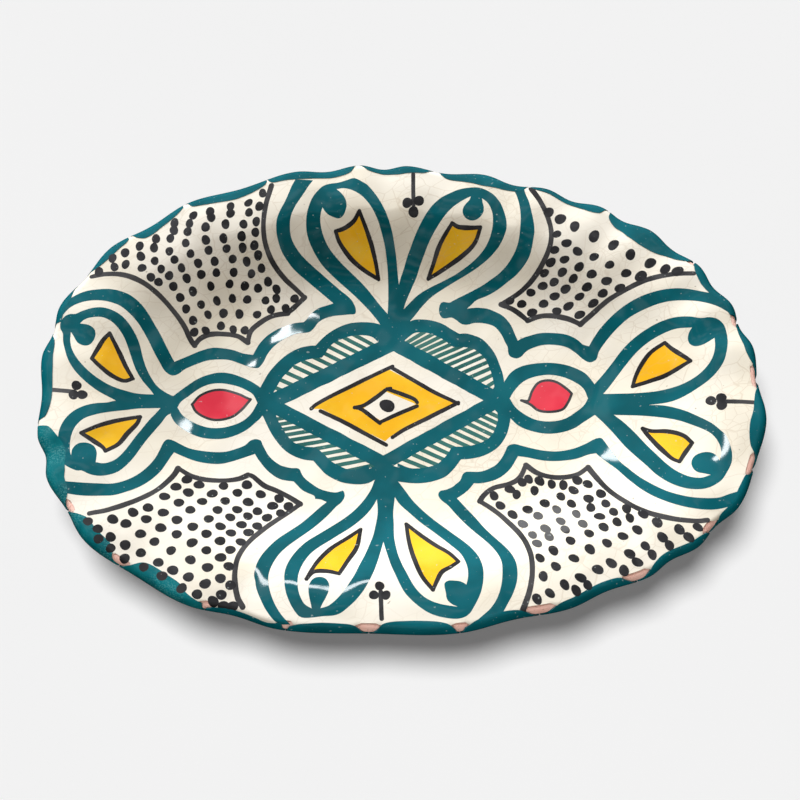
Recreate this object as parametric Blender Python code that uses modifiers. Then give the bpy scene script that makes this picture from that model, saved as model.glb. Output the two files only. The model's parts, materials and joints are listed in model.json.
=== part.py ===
"""An oval earthenware dish with a hand fluted rim: clay body, foot ring, two glaze coats and lip dabs.

Every piece starts as a turned section. One pressing then makes the round form oval, a little out of
true and lobed at the rim, as a potter does with a dish over an oval hump mould. Metres, +Z up, with
the origin under the middle of the dish on the surface that it stands on.
"""

import math

import bmesh
import bpy

MM = 0.001

# Oval plan, measured over the clay
RIM_LENGTH = 300 * MM
RIM_WIDTH = 210 * MM
SHOULDER_LENGTH = 258 * MM
WELL_LENGTH = 166 * MM
FULLNESS = 2.15

# Section: heights of the clay face above the middle of the well, and its slopes
WALL = 5.0 * MM
WELL_RISE = 2.5 * MM
SHOULDER_RISE = 16.5 * MM
RIM_RISE = 18.0 * MM
WELL_SLOPE = math.radians(7)
SHOULDER_SLOPE = math.radians(13)

# Foot ring, with its sides drawn in and the outer edge of its sole bevelled
FOOT_LENGTH = 152 * MM
FOOT_WIDTH = 8.0 * MM
FOOT_DRAFT = 1.2 * MM
FOOT_BEVEL = 1.5 * MM
FOOT_RECESS = 6.0 * MM

# Coats of glaze and the clearance between fired layers
GLAZE_COAT = 0.4 * MM
DAB_COAT = 0.4 * MM
LAYER_GAP = 0.3 * MM
GLAZE_EDGE = 1.6 * MM

# Rim formed by hand: how far each lobe stands out and up, and the angles of the lobes' crests
LOBE_DEPTH = 0.9 * MM
LOBE_LIFT = 0.4 * MM
LOBE_ANGLES = (
    11, 22, 33, 45, 55, 65, 76, 89, 97, 108, 127, 144, 161,
    174, 194, 204, 219, 240, 254, 281, 298, 312, 322, 333, 354,
)
# Slow swells of the pressed oval: waves round the rim, their heights, and the angle of each one's crest
SWELL_COUNTS = (3, 4, 6)
SWELL_HEIGHTS = (1.8 * MM, 0.5 * MM, 0.7 * MM)
SWELL_ANGLES = (-7, -21, -23)

# Turning: steps round the dish, and the angles between which each dab was brushed on the lip
STEPS = 120
DAB_ANGLES = (
    (6, 15), (21, 33), (36, 51), (54, 66), (69, 81), (84, 96), (99, 111), (114, 126),
    (129, 138), (141, 150), (156, 162), (168, 186), (192, 207), (213, 225), (228, 240), (243, 255),
    (258, 267), (270, 279), (282, 294), (297, 309), (312, 324), (327, 339), (345, 360),
)
WALL_STATIONS = 4
LIP_STATIONS = 5
DAB_STATIONS = 5
DAB_END_SHARE = 0.6
DAB_WRAP = math.radians(150)
SCREW_MERGE = 0.01 * MM

CLAY = ("fired_clay", (0.72, 0.43, 0.34), 0.75)
GLAZE = ("cream_glaze", (0.90, 0.83, 0.68), 0.15)
TEAL = ("teal_enamel", (0.0, 0.16, 0.17), 0.2)

rim_edge = RIM_LENGTH / 2
shoulder_edge = SHOULDER_LENGTH / 2
foot_edge = FOOT_LENGTH / 2
face_edge = rim_edge - WALL / 2
floor_height = FOOT_RECESS + WALL

FACE_KNOTS = (
    (0.0, 0.0, 0.0),
    (WELL_LENGTH / 2, WELL_RISE, math.tan(WELL_SLOPE)),
    (shoulder_edge, SHOULDER_RISE, math.tan(SHOULDER_SLOPE)),
    (face_edge, RIM_RISE, 0.0),
)


def face_at(radius):
    """Height above the table and slope of the clay face at a section radius."""
    for (r0, z0, m0), (r1, z1, m1) in zip(FACE_KNOTS, FACE_KNOTS[1:]):
        if radius <= r1:
            break
    run = r1 - r0
    u = min((radius - r0) / run, 1.0)
    rise = (
        (2 * u**3 - 3 * u**2 + 1) * z0
        + (u**3 - 2 * u**2 + u) * run * m0
        + (3 * u**2 - 2 * u**3) * z1
        + (u**3 - u**2) * run * m1
    )
    slope = (
        6 * (u**2 - u) * (z0 - z1) / run
        + (3 * u**2 - 4 * u + 1) * m0
        + (3 * u**2 - 2 * u) * m1
    )
    return floor_height + rise, slope


def layer(radius, lift):
    """Section point that stands off the clay face by lift, square to it."""
    height, slope = face_at(radius)
    length = math.hypot(1.0, slope)
    return radius - lift * slope / length, height + lift / length


def lip(angle, lift):
    """Section point on the round lip, standing off it by lift."""
    radius = WALL / 2 + lift
    middle = floor_height + RIM_RISE - WALL / 2
    return face_edge + radius * math.cos(angle), middle + radius * math.sin(angle)


def stations(first, last):
    """Section radii at which the wall is drawn, from the foot out to the rim."""
    climb = (shoulder_edge - foot_edge) / WALL_STATIONS
    radii = [0.0, foot_edge / 2]
    radii += [foot_edge + climb * i for i in range(WALL_STATIONS + 1)]
    inner = [r for r in radii if first <= r < last]
    return inner + [last]


def lobe(turn):
    """Height of the rim's fluting, from -1 between two lobes to 1 on a crest."""
    degrees = math.degrees(turn) % 360
    crests = [LOBE_ANGLES[-1] - 360, *LOBE_ANGLES, LOBE_ANGLES[0] + 360]
    for start, end in zip(crests, crests[1:]):
        if start <= degrees <= end:
            return math.cos(math.tau * (degrees - start) / (end - start))


def swell(turn):
    """How far the pressed oval stands outside its true curve."""
    waves = zip(SWELL_COUNTS, SWELL_HEIGHTS, SWELL_ANGLES)
    return sum(height * math.cos(count * (turn - math.radians(crest))) for count, height, crest in waves)


def half_width(radius):
    """Half the width of the oval whose half length is radius: an even flange round like ovals."""
    shoulder_width = RIM_WIDTH / 2 - (rim_edge - shoulder_edge)
    if radius >= shoulder_edge:
        return shoulder_width + radius - shoulder_edge
    return radius * shoulder_width / shoulder_edge


def pressed(x, y, z):
    """Place of a turned point after the round dish has been pressed oval and its rim fluted."""
    radius = math.hypot(x, y)
    turn = math.atan2(y, x)
    share = (radius - foot_edge) / (shoulder_edge - foot_edge)
    share = min(max(share, 0.0), 1.0)
    hold = share * share * (3 - 2 * share)
    out = hold * (swell(turn) + LOBE_DEPTH * lobe(turn))
    full = (abs(math.cos(turn)) ** FULLNESS + abs(math.sin(turn)) ** FULLNESS) ** (-1 / FULLNESS)
    return (
        (radius + out) * math.cos(turn) * full,
        (half_width(radius) + out) * math.sin(turn) * full,
        z + hold * LOBE_LIFT * lobe(turn),
    )


def middle_of_rim():
    """Middle of the pressed rim's box in plan, which becomes the origin."""
    turns = [math.tau * i / STEPS for i in range(STEPS)]
    rim = [pressed(rim_edge * math.cos(t), rim_edge * math.sin(t), 0.0) for t in turns]
    spans = [[point[axis] for point in rim] for axis in (0, 1)]
    return [(min(span) + max(span)) / 2 for span in spans]


def turned(section, closed=False):
    """Mesh made by turning a section about the vertical axis."""
    mesh = bpy.data.meshes.new("section")
    edges = [(i, i + 1) for i in range(len(section) - 1)]
    if closed:
        edges.append((len(section) - 1, 0))
    mesh.from_pydata([(r, 0.0, z) for r, z in section], edges, [])
    profile = bpy.data.objects.new("section", mesh)
    bpy.context.scene.collection.objects.link(profile)
    screw = profile.modifiers.new("turn", "SCREW")
    screw.axis = "Z"
    screw.steps = STEPS
    screw.render_steps = STEPS
    screw.use_merge_vertices = True
    screw.merge_threshold = SCREW_MERGE
    graph = bpy.context.evaluated_depsgraph_get()
    result = bpy.data.meshes.new_from_object(profile.evaluated_get(graph))
    bpy.data.objects.remove(profile)
    return result


def press(mesh):
    """Presses a turned mesh into the oval and centres it on the origin."""
    across, along = middle_of_rim()
    for vertex in mesh.vertices:
        x, y, z = pressed(*vertex.co)
        vertex.co = (x - across, y - along, z)


def material(name, colour, roughness):
    found = bpy.data.materials.get(name)
    if found:
        return found
    made = bpy.data.materials.new(name)
    made.use_nodes = True
    shader = made.node_tree.nodes["Principled BSDF"]
    shader.inputs["Base Color"].default_value = (*colour, 1.0)
    shader.inputs["Roughness"].default_value = roughness
    shader.inputs["Metallic"].default_value = 0.0
    return made


def piece(name, mesh, finish, coat=None):
    """Adds a pressed mesh to the dish, as a solid or as a coat of even thickness."""
    press(mesh)
    mesh.name = name
    mesh.materials.append(material(*finish))
    mesh.shade_smooth()
    made = bpy.data.objects.new(name, mesh)
    dish.objects.link(made)
    made.parent = stand
    if coat:
        solid = made.modifiers.new("coat", "SOLIDIFY")
        solid.thickness = coat
        solid.offset = 1.0
        solid.use_even_offset = True
    return made


def clay_body():
    """The pressed dish: face, round lip and underside, closed on the axis."""
    radii = stations(0.0, face_edge)
    arc = [math.pi / 2 - math.pi * i / LIP_STATIONS for i in range(1, LIP_STATIONS)]
    section = [layer(r, 0.0) for r in radii]
    section += [lip(angle, 0.0) for angle in arc]
    section += [layer(r, -WALL) for r in reversed(radii)]
    piece("clay_body", turned(section), CLAY)


def foot_ring():
    """The ring luted under the well, with its top following the underside of the body."""
    outer = layer(foot_edge, -WALL - LAYER_GAP)
    inner = layer(foot_edge - FOOT_WIDTH, -WALL - LAYER_GAP)
    heel = (outer[0] - FOOT_DRAFT, FOOT_BEVEL)
    sole_out = (heel[0] - FOOT_BEVEL, 0.0)
    sole_in = (inner[0] + FOOT_DRAFT, 0.0)
    piece("foot_ring", turned([inner, outer, heel, sole_out, sole_in], closed=True), CLAY)


def face_glaze():
    """The white tin glaze over the whole face, up to the crown of the lip."""
    radii = stations(0.0, face_edge - GLAZE_EDGE)
    piece("face_glaze", turned([layer(r, LAYER_GAP) for r in radii]), GLAZE, GLAZE_COAT)


def back_glaze():
    """The glaze on the underside, from the lip in to the foot ring."""
    radii = stations(foot_edge, face_edge - GLAZE_EDGE)
    section = [layer(r, -WALL - LAYER_GAP) for r in reversed(radii)]
    section[-1] = (section[-1][0] + LAYER_GAP, section[-1][1])
    piece("back_glaze", turned(section), GLAZE, GLAZE_COAT)


def over_lip(distance, lift):
    """Section point at a distance along the clay from the crown of the lip, outwards and down."""
    if distance <= 0:
        return layer(face_edge + distance, lift)
    return lip(math.pi / 2 - distance / (WALL / 2), lift)


def lip_dab(number, start, end):
    """One brushed dab of teal over the lip, narrower at both ends of its stroke."""
    first = round(start / 360 * STEPS)
    last = round(end / 360 * STEPS)
    inner = LAYER_GAP - GLAZE_EDGE
    bend = DAB_WRAP * WALL / 2
    rounds = [bend * i / DAB_STATIONS for i in range(DAB_STATIONS + 1)]
    middle = (inner + bend) / 2
    dab = bmesh.new()
    rings = []
    for step in range(first, last + 1):
        along = 2 * (step - first) / (last - first) - 1
        share = DAB_END_SHARE + (1 - DAB_END_SHARE) * math.sqrt(1 - along * along)
        turn = math.tau * step / STEPS
        ring = []
        for distance in (inner, *rounds):
            radius, height = over_lip(middle + (distance - middle) * share, LAYER_GAP)
            place = (radius * math.cos(turn), radius * math.sin(turn), height)
            ring.append(dab.verts.new(place))
        rings.append(ring)
    for ring, following in zip(rings, rings[1:]):
        for i in range(DAB_STATIONS + 1):
            dab.faces.new((ring[i], ring[i + 1], following[i + 1], following[i]))
    mesh = bpy.data.meshes.new("dab")
    dab.to_mesh(mesh)
    dab.free()
    piece(f"lip_dab_{number:02d}", mesh, TEAL, DAB_COAT)


for old in list(bpy.data.objects):
    bpy.data.objects.remove(old)

dish = bpy.data.collections.new("painted_oval_dish")
bpy.context.scene.collection.children.link(dish)
stand = bpy.data.objects.new("dish_origin", None)
dish.objects.link(stand)

clay_body()
foot_ring()
face_glaze()
back_glaze()
for dab_number, (arc_start, arc_end) in enumerate(DAB_ANGLES, start=1):
    lip_dab(dab_number, arc_start, arc_end)
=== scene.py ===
"""Looks of the painted oval dish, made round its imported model.

The glaze, the lip dabs and the painting all lie on one surface, worked out here as in the model: a
turned section pressed into an oval, with slow swells and a fluted rim. Sizes and places are in
millimetres, x along the dish, y across it and z up from the table. They become metres in a mesh.
"""

import json
import math

import bpy
import numpy as np
from mathutils import Matrix, Vector
from mathutils.geometry import delaunay_2d_cdt

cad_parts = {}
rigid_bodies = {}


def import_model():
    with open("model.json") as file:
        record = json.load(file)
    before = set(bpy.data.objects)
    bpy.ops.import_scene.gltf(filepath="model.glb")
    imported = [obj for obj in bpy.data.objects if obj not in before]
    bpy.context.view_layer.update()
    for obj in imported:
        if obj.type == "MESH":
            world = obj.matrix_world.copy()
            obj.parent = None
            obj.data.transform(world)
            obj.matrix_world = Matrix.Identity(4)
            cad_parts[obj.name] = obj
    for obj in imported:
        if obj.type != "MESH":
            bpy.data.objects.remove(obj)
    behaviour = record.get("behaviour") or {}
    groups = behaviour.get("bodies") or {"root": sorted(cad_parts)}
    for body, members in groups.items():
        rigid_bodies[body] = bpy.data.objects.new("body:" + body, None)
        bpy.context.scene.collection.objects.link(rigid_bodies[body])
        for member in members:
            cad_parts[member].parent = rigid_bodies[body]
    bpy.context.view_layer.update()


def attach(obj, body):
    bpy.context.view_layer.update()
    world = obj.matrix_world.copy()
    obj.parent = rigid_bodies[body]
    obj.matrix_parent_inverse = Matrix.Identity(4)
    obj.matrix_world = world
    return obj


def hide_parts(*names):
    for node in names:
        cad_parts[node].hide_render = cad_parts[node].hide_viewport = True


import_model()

# Plan and section of the dish, as in the model
RIM_LENGTH = 300.0
RIM_WIDTH = 210.0
SHOULDER_LENGTH = 258.0
WELL_LENGTH = 166.0
FULLNESS = 2.15
WALL = 5.0
WELL_RISE = 2.5
SHOULDER_RISE = 16.5
RIM_RISE = 18.0
WELL_SLOPE = math.radians(7)
SHOULDER_SLOPE = math.radians(13)
FOOT_LENGTH = 152.0
FOOT_WIDTH = 8.0
FOOT_DRAFT = 1.2
FOOT_ROUND = 1.5
FOOT_RECESS = 6.0
LAYER_GAP = 0.3
LOBE_DEPTH = 0.9
LOBE_LIFT = 0.4
LOBE_ANGLES = (
    11, 22, 33, 45, 55, 65, 76, 89, 97, 108, 127, 144, 161,
    174, 194, 204, 219, 240, 254, 281, 298, 312, 322, 333, 354,
)
SWELL_COUNTS = (3, 4, 6)
SWELL_HEIGHTS = (1.8, 0.5, 0.7)
SWELL_ANGLES = (-7, -21, -23)
MODEL_STEPS = 120

# Glaze: how far its surface stands off the clay on the face and round the lip, and its own thickness
FACE_COAT = 0.7
LIP_COAT = 0.55
LIP_FADE = 8.0
GLAZE_BODY = 0.4
# Shallow waves left in the face by hand: length along x, length along y and height
RIPPLES = ((41.0, 23.0, 0.10), (-27.0, 38.0, 0.08), (17.0, -29.0, 0.05))

# Paint films: how far each kind stands off the glaze, how deep its underside is sunk, and its mesh
HATCH_LIFT = 0.12
TEAL_LIFT = 0.17
FILL_LIFT = 0.15
GREY_LIFT = 0.2
LINE_LIFT = 0.24
DOT_LIFT = 0.27
DAB_LIFT = 0.21
SINK = 0.15
BRUSH_STEP = 1.0
RAGGED = 0.035
NET = 1.25
INSIDE = 1
CUT_LIMIT = 1e-4
SHARP = math.radians(40)

# Turning of the visible pieces
STEPS = 480
WELL_RINGS = 21
WALL_RINGS = 32
FLANGE_RINGS = 18
LIP_RINGS = 12

rim_edge = RIM_LENGTH / 2
shoulder_edge = SHOULDER_LENGTH / 2
foot_edge = FOOT_LENGTH / 2
face_edge = rim_edge - WALL / 2
floor_height = FOOT_RECESS + WALL
lip_height = floor_height + RIM_RISE - WALL / 2
lip_radius = WALL / 2 + LIP_COAT
shoulder_width = RIM_WIDTH / 2 - (rim_edge - shoulder_edge)
FACE_KNOTS = (
    (0.0, 0.0, 0.0),
    (WELL_LENGTH / 2, WELL_RISE, math.tan(WELL_SLOPE)),
    (shoulder_edge, SHOULDER_RISE, math.tan(SHOULDER_SLOPE)),
    (face_edge, RIM_RISE, 0.0),
)
chance = np.random.default_rng(7)


# Surface of the dish

def smooth_share(share):
    share = np.clip(share, 0.0, 1.0)
    return share * share * (3 - 2 * share)


def clay_face(radius):
    """Height above the table and slope of the clay face at a section radius."""
    radius = np.asarray(radius, float)
    rise = np.full_like(radius, RIM_RISE)
    slope = np.zeros_like(radius)
    for (r0, z0, m0), (r1, z1, m1) in zip(FACE_KNOTS, FACE_KNOTS[1:]):
        run = r1 - r0
        u = (radius - r0) / run
        curve = (2 * u**3 - 3 * u**2 + 1) * z0 + (3 * u**2 - 2 * u**3) * z1
        curve = curve + ((u**3 - 2 * u**2 + u) * m0 + (u**3 - u**2) * m1) * run
        tilt = 6 * (u**2 - u) * (z0 - z1) / run + (3 * u**2 - 4 * u + 1) * m0 + (3 * u**2 - 2 * u) * m1
        within = (radius >= r0) & (radius <= r1)
        rise = np.where(within, curve, rise)
        slope = np.where(within, tilt, slope)
    return floor_height + rise, slope


def layer(radius, lift):
    """Section points that stand off the clay face by lift, square to it."""
    height, slope = clay_face(radius)
    length = np.hypot(1.0, slope)
    return np.stack([radius - lift * slope / length, height + lift / length], -1)


def lip(angle, lift):
    """Section points on the round lip, standing off it by lift."""
    reach = WALL / 2 + lift
    return np.stack([face_edge + reach * np.cos(angle), lip_height + reach * np.sin(angle)], -1)


def lobe(turn):
    """Height of the rim's fluting, from -1 between two lobes to 1 on a crest."""
    degrees = np.degrees(turn) % 360
    crests = np.array([LOBE_ANGLES[-1] - 360, *LOBE_ANGLES, LOBE_ANGLES[0] + 360], float)
    at = np.clip(np.searchsorted(crests, degrees, side="right") - 1, 0, len(crests) - 2)
    return np.cos(math.tau * (degrees - crests[at]) / (crests[at + 1] - crests[at]))


def swell(turn):
    """How far the pressed oval stands outside its true curve."""
    waves = zip(SWELL_COUNTS, SWELL_HEIGHTS, SWELL_ANGLES)
    return sum(height * np.cos(count * (turn - math.radians(crest))) for count, height, crest in waves)


def hold(radius):
    """Share of the swells and lobes that the dish takes at a section radius."""
    return smooth_share((radius - foot_edge) / (shoulder_edge - foot_edge))


def half_width(radius):
    """Half the width of the oval whose half length is radius: an even flange round like ovals."""
    even = shoulder_width + radius - shoulder_edge
    return np.where(radius >= shoulder_edge, even, radius * shoulder_width / shoulder_edge)


def fullness(turn):
    return (np.abs(np.cos(turn)) ** FULLNESS + np.abs(np.sin(turn)) ** FULLNESS) ** (-1 / FULLNESS)


def pressed(radius, turn):
    """Plan of a turned point after the round dish has been pressed oval and its rim fluted."""
    out = hold(radius) * (swell(turn) + LOBE_DEPTH * lobe(turn))
    x = (radius + out) * np.cos(turn) * fullness(turn)
    y = (half_width(radius) + out) * np.sin(turn) * fullness(turn)
    return x, y


def middle_of_rim():
    """Middle of the pressed rim's box in plan, which is the origin."""
    turns = math.tau * np.arange(MODEL_STEPS) / MODEL_STEPS
    spans = pressed(np.full(MODEL_STEPS, rim_edge), turns)
    return [(span.min() + span.max()) / 2 for span in spans]


middle_x, middle_y = middle_of_rim()


def plan(radius, turn):
    x, y = pressed(radius, turn)
    return x - middle_x, y - middle_y


def turned_from(x, y, rounds=14):
    """Section radius and turn of places on the face: plan the other way round, closed in on step by step."""
    x = np.asarray(x, float) + middle_x
    y = np.asarray(y, float) + middle_y
    aspect = RIM_WIDTH / RIM_LENGTH
    radius = np.maximum(np.hypot(x, y / aspect), 0.01)
    turn = np.arctan2(y / aspect, x)
    for _ in range(rounds):
        out = hold(radius) * (swell(turn) + LOBE_DEPTH * lobe(turn))
        long_half = radius + out
        short_half = half_width(radius) + out
        turn = np.arctan2(y / short_half, x / long_half)
        radius = np.maximum(radius * np.hypot(x / long_half, y / short_half) / fullness(turn), 0.01)
    return radius, turn


def skin_height(radius, turn):
    """Height of the glaze surface at a section radius and turn, out to the edge of the lip."""
    inside = face_edge - radius
    coat = FACE_COAT + (LIP_COAT - FACE_COAT) * smooth_share(1 - inside / LIP_FADE)
    past = np.clip(-inside, 0.0, lip_radius)
    drop = lip_radius - np.sqrt(lip_radius**2 - past**2)
    x, y = plan(radius, turn)
    waves = sum(height * np.sin(math.tau * (x / across + y / along)) for across, along, height in RIPPLES)
    height = clay_face(radius)[0] + coat - drop + hold(radius) * LOBE_LIFT * lobe(turn)
    return height + waves * smooth_share(inside / LIP_FADE)


def on_skin(places, lift=0.0):
    """Places on the glaze above plan points."""
    radius, turn = turned_from(places[..., 0], places[..., 1])
    return np.concatenate([places, (skin_height(radius, turn) + lift)[..., None]], -1)


def over_lip(distance, turn, lift=0.0):
    """Places on the skin at a distance outwards and down from the crown of the lip, or inwards below 0."""
    angle = math.pi / 2 - np.maximum(distance, 0.0) / lip_radius
    round_lip = lip(angle, LIP_COAT + lift)
    inner = face_edge + np.minimum(distance, 0.0)
    radius = np.where(distance > 0, round_lip[..., 0], inner)
    lobed = hold(radius) * LOBE_LIFT * lobe(turn)
    height = np.where(distance > 0, round_lip[..., 1] + lobed, skin_height(inner, turn) + lift)
    return np.stack([*plan(radius, turn), height], -1)


# Meshes

def solid(loops, ends=None):
    """Points and faces of a closed solid through like loops, shut by a point at each end or as a ring."""
    count, around = loops.shape[:2]
    points = loops.reshape(-1, 3)
    grid = np.arange(count * around).reshape(count, around)
    if ends is None:
        grid = np.vstack([grid, grid[:1]])
    onward = np.roll(grid, -1, 1)
    faces = np.stack([grid[:-1], grid[1:], onward[1:], onward[:-1]], -1).reshape(-1, 4).tolist()
    if ends is not None:
        first = len(points)
        faces += [[first, a, b] for a, b in zip(grid[0].tolist(), onward[0].tolist())]
        faces += [[first + 1, b, a] for a, b in zip(grid[-1].tolist(), onward[-1].tolist())]
        points = np.vstack([points, ends])
    return points, faces


def make_piece(name, points, faces, finish, node=None, normals=None):
    """A visible piece of the dish. Paint gives the glaze's own normals, as it lies in the glaze."""
    mesh = bpy.data.meshes.new(name)
    mesh.from_pydata((points * 0.001).tolist(), [], faces)
    mesh.shade_smooth()
    mesh.set_sharp_from_angle(angle=SHARP)
    if normals is not None:
        mesh.normals_split_custom_set_from_vertices(normals.tolist())
    mesh.materials.append(finish)
    made = bpy.data.objects.new(name, mesh)
    dish.objects.link(made)
    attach(made, "root")
    if node:
        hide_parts(node)
    return made


def turned_solid(section, ends=None):
    """A pressed solid from a section of radii and heights, run outwards on top and back underneath."""
    turn = np.broadcast_to(math.tau * np.arange(STEPS) / STEPS, (len(section), STEPS))
    radius = np.broadcast_to(section[:, :1], turn.shape)
    height = section[:, 1:] + hold(radius) * LOBE_LIFT * lobe(turn)
    loops = np.stack([*plan(radius, turn), height], -1)
    if ends is None:
        return solid(loops)
    return solid(loops, [(-middle_x, -middle_y, height) for height in ends])


def skin_normals(places, step=0.2):
    """Directions square to the glaze above plan points."""
    across = on_skin(places + (step, 0)) - on_skin(places - (step, 0))
    along = on_skin(places + (0, step)) - on_skin(places - (0, step))
    square = np.cross(across, along)
    return square / np.linalg.norm(square, axis=-1, keepdims=True)


def anticlockwise(ring):
    """A ring of places, turned round if it runs clockwise."""
    x, y = ring.T
    area = np.sum(x * np.roll(y, -1) - y * np.roll(x, -1))
    return ring if area > 0 else ring[::-1]


class Film:
    """A coat of paint: outlines in plan that run together, less the places left bare inside them.

    A coat can be laid in two pieces, inside an area and outside it."""

    def __init__(self):
        self.outlines = []
        self.bare = []
        self.area = None

    def painted(self, rings, within):
        """Whether a triangle in some of the rings has paint, within the area or else outside it."""
        bare = range(len(self.outlines), len(self.outlines) + len(self.bare))
        in_area = bool(rings) and max(rings) >= bare.stop
        return bool(rings) and min(rings) < bare.start and not set(rings) & set(bare) and in_area == within

    def cut(self, within):
        """Places and triangles of the painted area, with no overlaps."""
        areas = [] if self.area is None else [self.area]
        rings = [anticlockwise(ring) for ring in self.outlines + self.bare + areas]
        ends = np.cumsum([len(ring) for ring in rings]).tolist()
        corners = [list(range(end - len(ring), end)) for ring, end in zip(rings, ends)]
        low = np.concatenate(rings).min(0)
        high = np.concatenate(rings).max(0)
        net = np.meshgrid(*[np.arange(a, b, NET) for a, b in zip(low, high)])
        places = np.concatenate([*rings, np.stack(net, -1).reshape(-1, 2)])
        found = delaunay_2d_cdt([Vector(place) for place in places.tolist()], [], corners, INSIDE, CUT_LIMIT)
        inside = [face for face, sources in zip(found[2], found[5]) if self.painted(sources, within)]
        used, faces = np.unique(np.array(inside), return_inverse=True)
        places = np.array(found[0])[used]
        faces = faces.reshape(-1, 3)
        a, b, c = np.moveaxis(places[faces], 1, 0)
        back = np.cross(b - a, c - a) < 0
        faces[back] = faces[back, ::-1]
        return places, faces

    def piece(self, name, finish, slot, lift, within=False):
        """Lay the coat on the glaze as one thin solid."""
        places, faces = self.cut(within)
        count = len(places)
        edges = np.concatenate([faces[:, [0, 1]], faces[:, [1, 2]], faces[:, [2, 0]]])
        rim = edges[~np.isin(edges @ (count, 1), edges @ (1, count))]
        walls = np.concatenate([rim[:, ::-1], rim + count], 1)
        points = np.concatenate([on_skin(places, lift), on_skin(places, -SINK)])
        faces = faces.tolist() + (faces[:, ::-1] + count).tolist() + walls.tolist()
        normals = np.tile(skin_normals(places), (2, 1))
        make_piece(name, points, faces, finish, normals=normals).visible_shadow = False


# Brush work: every mark is an outline in plan

CAP_ANGLES = np.radians([80, 60, 40, 20])
DOT_STEPS = 20


def smooth_line(points, step=BRUSH_STEP):
    """Points about a step apart along a smooth curve through given points."""
    points = np.array(points, float)
    ends = np.vstack([2 * points[0] - points[1], points, 2 * points[-1] - points[-2]])
    found = [points[:1]]
    for before, start, end, after in zip(ends, ends[1:], ends[2:], ends[3:]):
        pieces = max(2, math.ceil(np.linalg.norm(end - start) / step))
        t = (np.arange(1, pieces + 1) / pieces)[:, None]
        bend = 2 * before - 5 * start + 4 * end - after
        twist = 3 * start - before - 3 * end + after
        found.append(start + 0.5 * ((end - before) * t + bend * t**2 + twist * t**3))
    return np.concatenate(found)


def closed(sides):
    """An outline of smooth sides. Each runs on from the end of the one before, where they make a corner."""
    starts = [side[-1] for side in sides[-1:] + sides[:-1]]
    return np.concatenate([smooth_line([start, *side])[:-1] for start, side in zip(starts, sides)])


def joined(sides):
    """An outline of sides that are each given from end to end."""
    return np.concatenate([smooth_line(side)[:-1] for side in sides])


def straight_sided(corners):
    """An outline of straight sides between corners."""
    return closed([[corner] for corner in corners])


def lengths(line):
    return np.concatenate([[0], np.cumsum(np.linalg.norm(np.diff(line, axis=0), axis=1))])


def waver(reach):
    """A slow waver between about -1 and 1 along a stroke, for one of its edges."""
    waves = chance.uniform(4, 19, 4)
    starts = chance.uniform(0, math.tau, 4)
    return np.sin(math.tau * reach[:, None] / waves + starts).mean(1) * 1.6


def stroke(width, points):
    """One stroke of a round brush. Width is one width or a few that are spread evenly along the stroke."""
    line = smooth_line(points)
    reach = lengths(line)
    widths = np.atleast_1d(np.array(width, float)) / 2
    half = np.interp(reach / reach[-1], np.linspace(0, 1, len(widths)), widths)
    along = np.gradient(line, axis=0)
    along = along / np.linalg.norm(along, axis=1, keepdims=True)
    head = line[0] - along[0] * (half[0] * np.sin(CAP_ANGLES))[:, None]
    tail = line[-1] + along[-1] * (half[-1] * np.sin(CAP_ANGLES[::-1]))[:, None]
    line = np.vstack([head, line, tail])
    caps = len(CAP_ANGLES)
    along = np.vstack([np.repeat(along[:1], caps, 0), along, np.repeat(along[-1:], caps, 0)])
    half = np.concatenate([half[0] * np.cos(CAP_ANGLES), half, half[-1] * np.cos(CAP_ANGLES[::-1])])
    reach = lengths(line)
    left = np.stack([-along[:, 1], along[:, 0]], -1) * half[:, None]
    sides = [line + side * left * (1 + RAGGED * waver(reach))[:, None] for side in (1, -1)]
    return np.concatenate([sides[1], sides[0][::-1]])


def spot(x, y, long=2.0, short=2.0, slant=0.0):
    """One touch of a loaded brush: a round, slightly uneven dot."""
    angle = math.tau * np.arange(DOT_STEPS) / DOT_STEPS
    starts = chance.uniform(0, math.tau, 2)
    wobble = 1 + 0.04 * np.cos(2 * angle + starts[0]) + 0.03 * np.cos(3 * angle + starts[1])
    u = long * wobble * np.cos(angle)
    v = short * wobble * np.sin(angle)
    c, s = math.cos(slant), math.sin(slant)
    return np.stack([x + c * u - s * v, y + s * u + c * v], -1)


# Painting, in plan. An outline is a row of smooth sides, each run on from the end of the one before it

FRAME = (
    (7.0, ((-55.9, -2.9), (-3.5, 26.8))),
    (6.6, ((-3.5, 26.8), (41.9, 0.5))),
    (6.3, ((41.9, 0.5), (-5.9, -29.3))),
    (6.2, ((-5.9, -29.3), (-55.9, -2.9))),
)
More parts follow.
